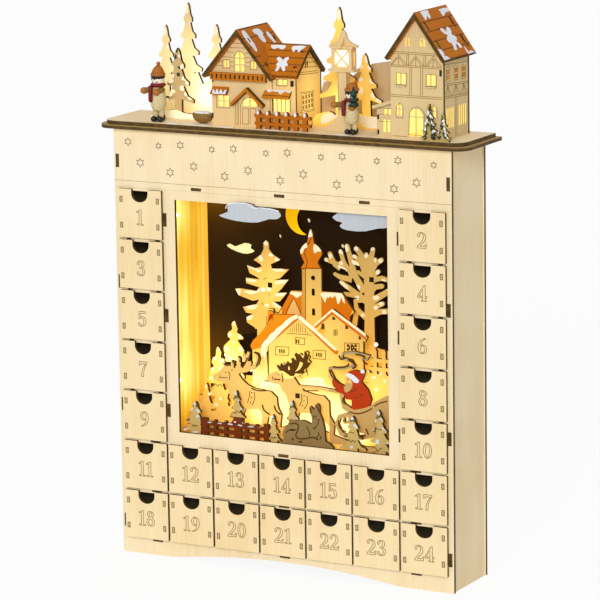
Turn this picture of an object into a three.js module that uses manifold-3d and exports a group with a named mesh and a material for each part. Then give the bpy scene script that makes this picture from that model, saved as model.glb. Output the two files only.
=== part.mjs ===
// Wooden advent calendar: twenty-four drawers round a lit winter scene, with a village on top.
// X runs across the front, Y from front to back and Z up, in millimetres.
import * as THREE from 'three';
import { mergeVertices } from 'three/addons/utils/BufferGeometryUtils.js';
import Module from 'manifold-3d';

const wasm = await Module();
wasm.setup();

// Stock and fits
const ply = 3;
const glueGap = 0.1;
const mortiseFit = 0.1;
const runningGap = 0.3;
const tenonRecess = 0.4;

// Drawer raster on the front
const pitchX = 43;
const pitchZ = 42.5;
const columns = 7;
const rows = 7;
const openRows = 5;
const frontWidth = 41;
const frontHeight = 40.5;
const frontThick = 2.7;
const lowestFront = 14;

// Drawer trays
const traySide = 2.2;
const trayInset = 2.15;
const trayBottomRise = 1.0;
const trayHeight = 36;
const trayLength = 55;
const trayFloor = 2;
const notchWidth = 15.6;
const notchDepth = 10.6;
const openingSideGap = 0.45;
const openingTopGap = 1.9;

// Cabinet
const faceY = -29;
const cabinetHalf = 154;
const sideOuter = 152.5;
const cabinetDepth = 60;
const railBottom = 310.3;
const fasciaTop = 359;
const topShelfZ = 311;
const partitionCentre = 107;
const boardDrop = 2.6;
const archHalf = 112;
const archRise = 8;
const windowLeft = -97.5;
const windowRight = 97;
const windowBottom = 107.8;
const windowTop = 302.8;
const sideTenonHeights = [27.5, 127, 231];
const fasciaTenonRise = 21.7;
const fasciaTenonHeight = railBottom + fasciaTenonRise;
const partitionTenonHeights = [125.5, 205.5, 285.5];
const tallTenon = 11;
const floorTenonWidth = 9.4;
const floorTenonPlaces = [-120.5, 0, 120.5];
const railTenonPlaces = [-77, 0, 77];
const shelfTenonWidth = 4.2;
const shelfTenonPlaces = [-12.5, 14.6];
const lowTenon = 2.4;

// Cornice and village plate
const corniceHalf = 168;
const corniceFront = 5;
const corniceBack = 63;
const corniceRadius = 15;
const plateHalf = 164;
const plateFront = 1.5;
const plateBack = 60;
const plateRadius = 13;

// Distances of the scene layers behind the front face
const sceneHalf = 104;
const foregroundAt = 8;
const sleighAt = 17;
const cottageAt = 27;
const churchAt = 36;
const treesAt = 44;
const moonAt = 51;
const skyAt = 56;
const sceneFootPlaces = [-62, 62];
const sceneFootWidth = 12;

// Power pack behind the fascia
const packWall = 1.6;
const packLeft = -37.5;
const packRight = 53.5;
const packBottom = 318.5;
const packHeight = 33;
const packFront = 38;
const packBack = 61.5;
const lidRight = 37;
const switchTravel = 4;

const floorTop = lowestFront + (rows - openRows) * pitchZ + ply - boardDrop;
const plateTop = fasciaTop + ply * 2 + glueGap;
const ground = plateTop + glueGap;
const sceneGround = floorTop + glueGap;

function frontZ(row) {
  return lowestFront + (rows - 1 - row) * pitchZ;
}

function columnX(column) {
  return (column - (columns - 1) / 2) * pitchX;
}

// Solids

function solidFrom(geometry) {
  const bare = geometry.clone();
  bare.deleteAttribute('normal');
  bare.deleteAttribute('uv');
  const merged = mergeVertices(bare, 1e-4);
  return new wasm.Manifold(new wasm.Mesh({
    numProp: 3,
    vertProperties: new Float32Array(merged.attributes.position.array),
    triVerts: new Uint32Array(merged.index.array),
  }));
}

function geometryFrom(solid) {
  const mesh = solid.getMesh();
  const geometry = new THREE.BufferGeometry();
  geometry.setAttribute('position', new THREE.BufferAttribute(new Float32Array(mesh.vertProperties), 3));
  geometry.setIndex(new THREE.BufferAttribute(new Uint32Array(mesh.triVerts), 1));
  geometry.computeVertexNormals();
  return geometry;
}

function joined(solids) {
  return solids.reduce((whole, piece) => whole.add(piece));
}

// A block between two depths behind the front face.
function block(x0, x1, depth0, depth1, z0, z1) {
  const geometry = new THREE.BoxGeometry(x1 - x0, depth1 - depth0, z1 - z0);
  geometry.translate((x0 + x1) / 2, faceY + (depth0 + depth1) / 2, (z0 + z1) / 2);
  return solidFrom(geometry);
}

function shapeOf(points) {
  return new THREE.Shape(points.map(([x, z]) => new THREE.Vector2(x, z)));
}

function rectangle(x0, x1, z0, z1) {
  return shapeOf([[x0, z0], [x1, z0], [x1, z1], [x0, z1]]);
}

// A closed outline whose corners are rounded by a smooth curve.
function softShape(points, perSpan = 2) {
  const knots = points.map(([x, z]) => new THREE.Vector3(x, z, 0));
  const curve = new THREE.CatmullRomCurve3(knots, true, 'centripetal');
  const places = curve.getPoints(points.length * perSpan).slice(0, -1);
  return new THREE.Shape(places.map((p) => new THREE.Vector2(p.x, p.y)));
}

// A tapering branch or strap along a bent line, with a round end.
function strokeShape(points, startWidth, endWidth, steps = 1) {
  const knots = points.map(([x, z]) => new THREE.Vector3(x, z, 0));
  const curve = new THREE.CatmullRomCurve3(knots, false, 'centripetal');
  const spans = (points.length - 1) * steps;
  const left = [];
  const right = [];
  for (let i = 0; i <= spans; i += 1) {
    const t = i / spans;
    const place = curve.getPoint(t);
    const along = curve.getTangent(t);
    const half = (startWidth + (endWidth - startWidth) * t) / 2;
    left.push([place.x - along.y * half, place.y + along.x * half]);
    right.push([place.x + along.y * half, place.y - along.x * half]);
  }
  const end = curve.getPoint(1);
  const along = curve.getTangent(1);
  const heading = Math.atan2(along.y, along.x);
  const cap = [-0.25, 0, 0.25].map((turn) => {
    const angle = heading + turn * Math.PI;
    return [end.x + Math.cos(angle) * endWidth / 2, end.y + Math.sin(angle) * endWidth / 2];
  });
  return shapeOf([...right, ...cap, ...left.reverse()]);
}

// A fir cut from board: drooping tiers, a straight trunk and a knob at the top.
function firShape(centre, foot, top, half, tiers, trunkHalf = 2, trunkHeight = 5, bend = 0) {
  const low = foot + trunkHeight;
  const rise = (top - low) / (tiers + 0.15);
  const side = [[trunkHalf, foot], [trunkHalf, low + rise * 0.22]];
  for (let i = 0; i < tiers; i += 1) {
    const z = low + rise * i;
    const reach = half * (1 - i / (tiers + 0.35));
    side.push([reach * 0.97, z]);
    side.push([reach, z + rise * 0.2]);
    side.push([reach * 0.6, z + rise * 0.42]);
    side.push([Math.max(reach * 0.34, 1.2), z + rise * 0.94]);
  }
  const lean = (z) => bend * (z - foot) / (top - foot);
  const right = side.map(([x, z]) => [centre + lean(z) + x, z]);
  const left = side.map(([x, z]) => [centre + lean(z) - x, z]).reverse();
  return shapeOf([...right, [centre + bend, top], ...left]);
}

// Upright board: the outline is drawn across and up, and the board runs back from its depth.
function upright(shape, depth, thick = ply, segments = 8) {
  const geometry = new THREE.ExtrudeGeometry(shape, {
    depth: thick,
    bevelEnabled: false,
    curveSegments: segments,
  });
  geometry.rotateX(Math.PI / 2);
  geometry.translate(0, faceY + depth + thick, 0);
  return solidFrom(geometry);
}

// Flat board: the outline is drawn across and back.
function flat(shape, z, thick = ply, segments = 8) {
  const geometry = new THREE.ExtrudeGeometry(shape, {
    depth: thick,
    bevelEnabled: false,
    curveSegments: segments,
  });
  geometry.translate(0, faceY, z);
  return solidFrom(geometry);
}

// Side-on board: the outline is drawn back and up, and the board runs across from x.
function sideways(shape, x, thick = ply) {
  const geometry = new THREE.ExtrudeGeometry(shape, { depth: thick, bevelEnabled: false });
  const turn = new THREE.Matrix4().makeBasis(
    new THREE.Vector3(0, 1, 0),
    new THREE.Vector3(0, 0, 1),
    new THREE.Vector3(1, 0, 0),
  );
  geometry.applyMatrix4(turn);
  geometry.translate(x, faceY, 0);
  return solidFrom(geometry);
}

function ball(x, depth, z, rx, ry, rz, around = 12, up = 8) {
  const geometry = new THREE.SphereGeometry(1, around, up);
  geometry.scale(rx, rz, ry);
  geometry.rotateX(Math.PI / 2);
  geometry.translate(x, faceY + depth, z);
  return solidFrom(geometry);
}

function turned(profile, x, depth, around = 10, lean = 0) {
  const points = profile.map(([radius, z]) => new THREE.Vector2(radius, z));
  const geometry = new THREE.LatheGeometry(points, around);
  geometry.rotateX(Math.PI / 2);
  const low = profile[0][1];
  const shear = new THREE.Matrix4().set(1, 0, lean, -lean * low, 0, 1, 0, 0, 0, 0, 1, 0, 0, 0, 0, 1);
  geometry.applyMatrix4(shear);
  geometry.translate(x, faceY + depth, 0);
  return solidFrom(geometry);
}

function rod(from, to, radius, around = 7) {
  const start = new THREE.Vector3(from[0], faceY + from[1], from[2]);
  const end = new THREE.Vector3(to[0], faceY + to[1], to[2]);
  const along = end.clone().sub(start);
  const geometry = new THREE.CylinderGeometry(radius, radius, along.length(), around);
  const turn = new THREE.Quaternion().setFromUnitVectors(
    new THREE.Vector3(0, 1, 0),
    along.clone().normalize(),
  );
  geometry.applyQuaternion(turn);
  const middle = start.add(end).multiplyScalar(0.5);
  geometry.translate(middle.x, middle.y, middle.z);
  return solidFrom(geometry);
}

// Materials and the node list

function finish(color, roughness, metalness = 0) {
  return new THREE.MeshStandardMaterial({ color, roughness, metalness });
}

const group = new THREE.Group();
group.name = 'advent_calendar';

function addPiece(name, solid, color, roughness = 0.75) {
  const mesh = new THREE.Mesh(geometryFrom(solid), finish(color, roughness));
  mesh.name = name;
  group.add(mesh);
}

const colors = {
  plywood: 0xecd8a8,
  inside: 0xe0c68e,
  sky: 0x2b2010,
  cloud: 0xbcc2c8,
  roof: 0xb8650f,
  fence: 0x6f3512,
  glowingWood: 0xf1c350,
  taupe: 0xc4ac86,
  coat: 0xe6d3a8,
  brown: 0x7a5222,
  green: 0x59633a,
  plastic: 0x2c2c2c,
};

// Tenons that come through the front panel and the mortises that take them

function frontTenon(x, z, wide, high) {
  return block(x - wide / 2, x + wide / 2, tenonRecess, ply + glueGap * 2, z - high / 2, z + high / 2);
}

function frontMortise(x, z, wide, high) {
  const halfWide = wide / 2 + mortiseFit;
  const halfHigh = high / 2 + mortiseFit;
  return [x - halfWide, x + halfWide, z - halfHigh, z + halfHigh];
}

// Square holes right through an upright board.
function pierced(board, depth, holes) {
  const cutters = holes.map(([x0, x1, z0, z1]) => block(x0, x1, depth - 1, depth + ply + 1, z0, z1));
  return board.subtract(joined(cutters));
}

function boardZ(row) {
  return frontZ(row) - boardDrop;
}

function lowTenonZ(row) {
  return frontZ(row) - lowTenon / 2;
}

const sideShelves = [];
for (let row = 0; row < openRows - 1; row += 1) {
  sideShelves.push(row);
}
const fullBoards = [openRows - 1, openRows, rows - 1];

// Cabinet

function drawerHole(column, row) {
  const half = frontWidth / 2 - trayInset + openingSideGap;
  const bottom = frontZ(row) + trayBottomRise - runningGap;
  const top = frontZ(row) + trayBottomRise + trayHeight + openingTopGap;
  return [columnX(column) - half, columnX(column) + half, bottom, top];
}

const drawerPlaces = [];
for (let row = 0; row < rows; row += 1) {
  for (let column = 0; column < columns; column += 1) {
    if (row >= openRows || column === 0 || column === columns - 1) {
      drawerPlaces.push([column, row]);
    }
  }
}

function frontPanel() {
  const outline = new THREE.Shape();
  outline.moveTo(-cabinetHalf, 0);
  outline.lineTo(-archHalf, 0);
  outline.bezierCurveTo(-archHalf * 0.85, 0, -archHalf * 0.58, archRise, 0, archRise);
  outline.bezierCurveTo(archHalf * 0.58, archRise, archHalf * 0.85, 0, archHalf, 0);
  outline.lineTo(cabinetHalf, 0);
  outline.lineTo(cabinetHalf, railBottom);
  outline.lineTo(-cabinetHalf, railBottom);
  outline.closePath();
  const holes = drawerPlaces.map(([column, row]) => drawerHole(column, row));
  holes.push([windowLeft, windowRight, windowBottom, windowTop]);
  for (const side of [-1, 1]) {
    for (const z of sideTenonHeights) {
      holes.push(frontMortise(side * (sideOuter - ply / 2), z, ply, tallTenon));
    }
    for (const z of partitionTenonHeights) {
      holes.push(frontMortise(side * partitionCentre, z, ply, tallTenon));
    }
    for (const row of sideShelves) {
      for (const place of shelfTenonPlaces) {
        const x = side * columnX(columns - 1) + place;
        holes.push(frontMortise(x, lowTenonZ(row), shelfTenonWidth, lowTenon));
      }
    }
  }
  for (const row of fullBoards) {
    for (const x of floorTenonPlaces) {
      holes.push(frontMortise(x, lowTenonZ(row), floorTenonWidth, lowTenon));
    }
  }
  const cloud = softShape([
    [-54.5, 293.5], [-46, 297], [-46.5, 300.5], [-43.5, 303.8], [-34, 305.2], [-23.5, 304.4], [-18.5, 301.2],
    [-8, 302.5], [0, 300.8], [3, 297.2], [-1, 294], [-8, 293.6], [-18, 290.2], [-32, 289.6], [-46, 291],
  ]);
  const board = pierced(upright(outline, 0, ply, 10), 0, holes);
  return board.add(upright(cloud, -ply + runningGap, ply));
}

function starFascia() {
  const outline = rectangle(-cabinetHalf, cabinetHalf, railBottom + glueGap, fasciaTop - glueGap);
  const holes = [-1, 1].map(
    (side) => frontMortise(side * (sideOuter - ply / 2), fasciaTenonHeight, ply, tallTenon),
  );
  for (const x of railTenonPlaces) {
    holes.push(frontMortise(x, topShelfZ + ply / 2, floorTenonWidth, lowTenon));
  }
  return pierced(upright(outline, 0), 0, holes);
}

function sidePanel(side) {
  const inner = sideOuter - ply;
  const x0 = side < 0 ? -sideOuter : inner;
  const centre = side * (sideOuter - ply / 2);
  const board = block(x0, x0 + ply, ply + glueGap, cabinetDepth - glueGap, 0, fasciaTop - glueGap);
  const tenons = [...sideTenonHeights, fasciaTenonHeight].map(
    (z) => frontTenon(centre, z, ply, tallTenon),
  );
  return joined([board, ...tenons]);
}

function backPanel() {
  const outline = rectangle(-sideOuter - 1, sideOuter + 1, 0, fasciaTop - glueGap);
  const gap = 0.5;
  outline.holes.push(rectangle(
    packLeft - gap, packRight + gap, packBottom - gap, packBottom + packHeight + gap,
  ));
  return upright(outline, cabinetDepth);
}

// Partition beside the scene with the shelves of one side column, glued together.
function drawerRack(side) {
  const depth0 = ply + glueGap;
  const depth1 = cabinetDepth - glueGap;
  const inner = partitionCentre - ply / 2;
  const outer = partitionCentre + ply / 2;
  const wallX = side < 0 ? [-outer, -inner] : [inner, outer];
  const reach = sideOuter - ply - glueGap;
  const shelfX = side < 0 ? [-reach, -outer + glueGap] : [outer - glueGap, reach];
  const pieces = [block(...wallX, depth0, depth1, sceneGround, topShelfZ - glueGap)];
  for (const z of partitionTenonHeights) {
    pieces.push(frontTenon(side * partitionCentre, z, ply, tallTenon));
  }
  for (const row of sideShelves) {
    pieces.push(block(...shelfX, depth0, depth1, boardZ(row), boardZ(row) + ply));
    for (const place of shelfTenonPlaces) {
      const x = side * columnX(columns - 1) + place;
      pieces.push(frontTenon(x, lowTenonZ(row), shelfTenonWidth, lowTenon));
    }
  }
  return joined(pieces);
}

// Egg-crate under the scene: bottom board, middle board and the dividers of two full rows.
function drawerGrid() {
  const depth0 = ply + glueGap;
  const depth1 = cabinetDepth - glueGap;
  const reach = sideOuter - ply - glueGap;
  const top = boardZ(openRows - 1) - glueGap;
  const pieces = [];
  for (const row of [openRows, rows - 1]) {
    pieces.push(block(-reach, reach, depth0, depth1, boardZ(row), boardZ(row) + ply));
    for (const x of floorTenonPlaces) {
      pieces.push(frontTenon(x, lowTenonZ(row), floorTenonWidth, lowTenon));
    }
  }
  for (let divider = 1; divider < columns; divider += 1) {
    const raster = columnX(divider) - pitchX / 2;
    const atEnd = divider === 1 || divider === columns - 1;
    const x = atEnd ? Math.sign(raster) * partitionCentre : raster;
    pieces.push(block(x - ply / 2, x + ply / 2, depth0, depth1, boardZ(rows - 1) + 1, top));
  }
  return joined(pieces);
}

function layerFoot(depth, x, low, high, fit = 0) {
  const half = sceneFootWidth / 2 + fit;
  return block(x - half, x + half, depth - fit, depth + ply + fit, low, high);
}

const sceneLayers = [foregroundAt, sleighAt, cottageAt, churchAt, treesAt, skyAt];

function sceneFloor() {
  const depth0 = ply + glueGap;
  const reach = sideOuter - ply - glueGap;
  const z = boardZ(openRows - 1);
  const board = block(-reach, reach, depth0, cabinetDepth - glueGap, z, z + ply);
  const tenons = floorTenonPlaces.map(
    (x) => frontTenon(x, lowTenonZ(openRows - 1), floorTenonWidth, lowTenon),
  );
  let floor = joined([board, ...tenons]);
  for (const depth of sceneLayers) {
    for (const x of sceneFootPlaces) {
      floor = floor.subtract(layerFoot(depth, x, z - 1, z + ply + 1, mortiseFit));
    }
  }
  return floor;
}

function topShelf() {
  const reach = sideOuter - ply - glueGap;
  const board = block(-reach, reach, ply + glueGap, cabinetDepth - glueGap, topShelfZ, topShelfZ + ply);
  const tenons = railTenonPlaces.map(
    (x) => frontTenon(x, topShelfZ + ply / 2, floorTenonWidth, lowTenon),
  );
  return joined([board, ...tenons]);
}

function roundedPlate(half, front, back, radius) {
  const outline = new THREE.Shape();
  outline.moveTo(-half, back);
  outline.lineTo(-half, -front + radius);
  outline.quadraticCurveTo(-half, -front, -half + radius, -front);
  outline.lineTo(half - radius, -front);
  outline.quadraticCurveTo(half, -front, half, -front + radius);
  outline.lineTo(half, back);
  outline.closePath();
  return outline;
}

// Village pieces stand in the upper plate by feet; each foot is listed once and cuts its own slot.
const villageFeet = [];

function foot(x0, x1, depth0, depth1) {
  villageFeet.push([x0, x1, depth0, depth1]);
  return block(x0, x1, depth0, depth1, fasciaTop + ply + glueGap * 2, ground + 1);
}

// What stands on the village plate, with anything under its surface taken off.
function standing(solids) {
  return joined(solids).subtract(block(-plateHalf, plateHalf, -20, 80, ground - 20, ground));
}

function villagePlate() {
  const outline = roundedPlate(plateHalf, plateFront, plateBack, plateRadius);
  let plate = flat(outline, fasciaTop + ply + glueGap);
  for (const [x0, x1, depth0, depth1] of villageFeet) {
    plate = plate.subtract(block(
      x0 - mortiseFit, x1 + mortiseFit, depth0 - mortiseFit, depth1 + mortiseFit, fasciaTop, ground + 1,
    ));
  }
  return plate;
}

// Drawers

function notchedFront(x, z) {
  const half = frontWidth / 2;
  const top = z + frontHeight;
  const notch = notchWidth / 2;
  const straight = notchDepth * 0.36;
  const outline = new THREE.Shape();
  outline.moveTo(x - half, z);
  outline.lineTo(x + half, z);
  outline.lineTo(x + half, top);
  outline.lineTo(x + notch, top);
  outline.lineTo(x + notch, top - straight);
  outline.absellipse(x, top - straight, notch, notchDepth - straight, 0, Math.PI, true);
  outline.lineTo(x - notch, top);
  outline.lineTo(x - half, top);
  outline.closePath();
  return outline;
}

function drawer(column, row) {
  const x = columnX(column);
  const z = frontZ(row);
  const outer = frontWidth / 2 - trayInset;
  const inner = outer - traySide;
  const low = z + trayBottomRise;
  const face = upright(notchedFront(x, z), -runningGap - frontThick, frontThick, 6);
  const tray = block(x - outer, x + outer, -runningGap - glueGap, trayLength, low, low + trayHeight);
  const hollow = block(x - inner, x + inner, -1, trayLength - traySide, low + trayFloor, low + trayHeight + 1);
  return tray.subtract(hollow).add(face);
}

// Scene in the window, one cut board behind the other

function layer(depth, shapes, thick = ply) {
  const pieces = shapes.map((shape) => upright(shape, depth, thick));
  for (const x of sceneFootPlaces) {
    pieces.push(layerFoot(depth, x, boardZ(openRows - 1) + glueGap, sceneGround + 1));
  }
  return joined(pieces);
}

const moonDisc = { x: -6, z: 288, radius: 16.2 };
const moonShadow = { x: 1.5, z: 284.5, radius: 13 };
const litStars = [[-31, 268, 1.7], [-4, 283, 2], [27, 264, 2]];

function disc(x, z, radius, around) {
  const points = [];
  for (let i = 0; i < around; i += 1) {
    const angle = i / around * Math.PI * 2;
    points.push([x + Math.cos(angle) * radius, z + Math.sin(angle) * radius]);
  }
  return shapeOf(points);
}

const treePegs = [[-34, 229], [60, 241]];
const pegHalf = 2;

function treePeg(x, z, depth0, depth1, fit = 0) {
  const half = pegHalf + fit;
  return block(x - half, x + half, depth0, depth1, z - half, z + half);
}

function skyPanel() {
  const outline = rectangle(-99, sceneHalf, sceneGround, topShelfZ - glueGap);
  for (const [x, z, radius] of litStars) {
    outline.holes.push(disc(x, z, radius, 10));
  }
  outline.holes.push(softShape([
    [-83, 256], [-78, 258.5], [-73, 256.5], [-64.5, 260], [-57.5, 259], [-58.5, 256], [-54.5, 254],
    [-63, 250.5], [-72.5, 251.5],
  ]));
  const moon = upright(disc(moonDisc.x, moonDisc.z, moonDisc.radius, 40), moonAt)
    .subtract(upright(disc(moonShadow.x, moonShadow.z, moonShadow.radius, 32), moonAt - 1, ply + 2));
  const moonPeg = block(-19, -14.5, moonAt + 1, skyAt + 1, 286, 290.5);
  const pegs = treePegs.map(([x, z]) => treePeg(x, z, treesAt + tenonRecess, skyAt + 1));
  return layer(skyAt, [outline]).add(joined([moon, moonPeg, ...pegs]));
}

function cloudValance() {
  const cloud = softShape([
    [46.5, 298], [50, 300.8], [58, 306], [70, 308.5], [84, 306], [95, 307], [102, 303], [102, 297],
    [96, 293], [87, 291.8], [76, 288.8], [64, 288.2], [55, 289.6], [53, 291.8], [55.5, 294.2], [50.5, 295.2],
  ]);
  return upright(cloud, ply + glueGap);
}

function backTrees() {
  const hill = shapeOf([
    [-sceneHalf, sceneGround], [sceneHalf, sceneGround], [sceneHalf, 172], [80, 182], [46, 188], [0, 176],
    [-30, 190], [-60, 186], [-80, 150], [-98, 130], [-sceneHalf, 130],
  ]);
  const fir = shapeOf([
    [-30, 186], [-32.5, 200], [-27.5, 205], [-23.5, 211.5], [-31, 215.5], [-25, 216], [-18, 224], [-27.5, 223],
    [-24, 226], [-16.5, 235], [-30.5, 233.5], [-24.5, 235.5], [-16, 243.5], [-23.5, 243.5], [-32, 243],
    [-33, 246.5], [-24, 251], [-31, 255], [-34.5, 259], [-34.5, 264], [-37, 266.5],
    [-39.5, 264], [-39.5, 259], [-42, 254], [-49, 249], [-43, 246], [-41.5, 244], [-47, 242], [-55.5, 244],
    [-53, 237.5], [-46.5, 235], [-43.5, 233], [-56.5, 233.5], [-56.5, 229], [-47.5, 227], [-44, 226.5],
    [-46.5, 223], [-61, 224], [-67, 223.5], [-63.5, 218], [-50.5, 214.5], [-44.5, 216], [-47, 212],
    [-60, 208.5], [-57, 204], [-50.5, 203.5], [-56.5, 200.5], [-56.5, 196], [-49, 192], [-46, 186],
  ]);
  const trunk = shapeOf([
    [52.5, 182], [62.5, 182], [62, 215], [62.5, 245], [60.5, 256], [56.5, 256], [53, 240], [53.5, 215],
  ]);
  const branches = [
    [[[53, 230], [44.5, 244], [38, 267]], 6.5, 4.2],
    [[[43, 241], [39.5, 248.5], [18.5, 254.5]], 6, 3.4],
    [[[31.5, 248], [26.5, 251], [22, 259.5]], 4.6, 4],
    [[[39, 247], [34.5, 254], [32, 262]], 4, 3.8],
    [[[38, 250], [32, 253]], 4, 3.4],
    [[[42, 239.5], [31, 241], [26.5, 243]], 5, 3.2],
    [[[55, 243], [51, 253], [43.5, 254.5]], 5.5, 3.6],
    [[[54, 243], [47.5, 246.5]], 4, 2.8],
    [[[57, 250], [52.5, 258.5], [46.5, 265.5]], 6, 4.4],
    [[[53.5, 255], [44, 259]], 4, 3.4],
    [[[59, 250], [59.8, 259], [61.7, 266]], 6, 4],
    [[[58.5, 256], [55.3, 261.5]], 3.6, 3.4],
    [[[59.5, 247], [64, 254.5], [69.3, 258]], 5, 3.8],
    [[[62.5, 253], [63.7, 258]], 3.6, 3.2],
    [[[60, 243], [66.5, 248.3]], 3.6, 3.4],
    [[[60, 240.5], [69.5, 243], [76, 241.5]], 4.6, 3.6],
    [[[59, 231], [63.5, 235.3], [69.5, 236.4]], 5, 4],
    [[[58.5, 222], [67, 227.5], [75, 232.5]], 6, 4.6],
    [[[58.5, 213], [63.5, 219], [70, 222]], 5.5, 3.8],
    [[[60, 211.5], [67, 215], [78, 216.5]], 5, 4.4],
    [[[54.5, 223], [44, 229.5], [32.5, 236.8]], 6, 3.6],
    [[[46, 226.5], [35, 227.3]], 4, 3.2],
    [[[54.5, 209], [46, 215.5], [45, 222], [52, 223.5]], 5, 4],
    [[[46, 215], [43.5, 200], [43.5, 184]], 4.5, 5],
  ];
  const tree = branches.map(([points, start, end]) => strokeShape(points, start, end));
  let board = layer(treesAt, [hill, fir, trunk, ...tree]);
  for (const [x, z] of treePegs) {
    board = board.subtract(treePeg(x, z, treesAt - 1, treesAt + ply + 1, mortiseFit));
  }
  return board;
}

function churchLayer() {
  const ground0 = shapeOf([
    [-sceneHalf, sceneGround], [sceneHalf, sceneGround], [sceneHalf, 128], [60, 140], [-60, 140], [-sceneHalf, 122],
  ]);
  const hall = shapeOf([
    [-39, 130], [44, 130], [44, 211], [48, 214.5], [36.8, 229.5], [18, 229.5], [-10, 227.6], [-21.8, 207.5],
    [-26.5, 208.5], [-27, 211], [-31.5, 211], [-32.5, 205.5], [-40.8, 192.5], [-39, 190],
  ]);
  const tower = rectangle(0.4, 18.2, 190, 248.4);
  const dome = softShape([
    [-0.6, 247.2], [2.6, 252], [0.4, 256.5], [-0.9, 262], [2.6, 267.2], [5.6, 269.4], [6.8, 274.5],
    [9, 280.4], [11, 275], [11.8, 269], [16.4, 266], [19.2, 260.8], [16.4, 256], [15, 252.4], [17.8, 247.4],
    [9, 247.4],
  ]);
  let board = layer(churchAt, [ground0, hall, tower, dome]);
  const windows = [disc(10.6, 240, 2, 10), archShape(9.1, 12, 225.3, 6), archShape(9.1, 12, 208.8, 6)];
  for (const window of windows) {
    board = board.subtract(upright(window, churchAt - 1, ply + 2));
  }
  return board;
}

function cottageLayer() {
  const bank = shapeOf([
    [-sceneHalf, sceneGround], [sceneHalf, sceneGround], [sceneHalf, 163], [90, 166], [68, 168], [52, 158],
    [38, 158], [30, 155], [20, 158], [10, 152], [-10, 150], [-32, 152], [-46, 140], [-70, 124], [-sceneHalf, 118],
  ]);
  const firs = [
    firShape(-59, 128, 199.7, 11.5, 4, 3, 8),
    firShape(-74.5, 116, 177, 11, 4, 3, 6),
    firShape(-86.5, 112, 145, 8.5, 3, 2.5, 4),
    firShape(-68.5, 112, 139, 7.5, 3, 2.5, 4),
    firShape(65, 150, 170, 8, 2, 2.5, 3),
    firShape(78, 150, 173, 9, 3, 2.5, 3),
  ];
  const nearHouse = shapeOf([
    [-27, 146], [30, 146], [30, 179], [35, 176.4], [37, 181.2], [1.5, 206.8], [-33.5, 181.2], [-31.5, 172],
    [-27, 179],
  ]);
  const farHouse = shapeOf([
    [26, 150], [60.5, 150], [60.5, 194], [62, 192.6], [64.5, 196.8], [33.2, 217.4], [15, 201.6], [17.5, 198],
    [26, 203],
  ]);
  const fence = [69.4, 77.5, 85.6].map((x) => shapeOf([
    [x, 160], [x + 3.2, 160], [x + 3.2, 186], [x + 2.3, 188], [x + 0.9, 188], [x, 186],
  ]));
  const rails = [rectangle(66.5, 92, 170, 173), rectangle(66.5, 92, 177, 180)];
  let board = layer(cottageAt, [bank, ...firs, nearHouse, farHouse, ...fence, ...rails]);
  for (const [x, z, panes] of [[-14.5, 178.5, 3], [0.3, 188, 2], [19.8, 178.5, 3], [49.8, 187.3, 3]]) {
    for (let pane = 0; pane < panes; pane += 1) {
      const left = x + (pane - panes / 2) * 2 + 0.35;
      board = board.subtract(block(
        left, left + 1.3, cottageAt - 1, cottageAt + ply + 1, z - 1.6, z + 1.6,
      ));
    }
  }
  return board;
}

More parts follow.
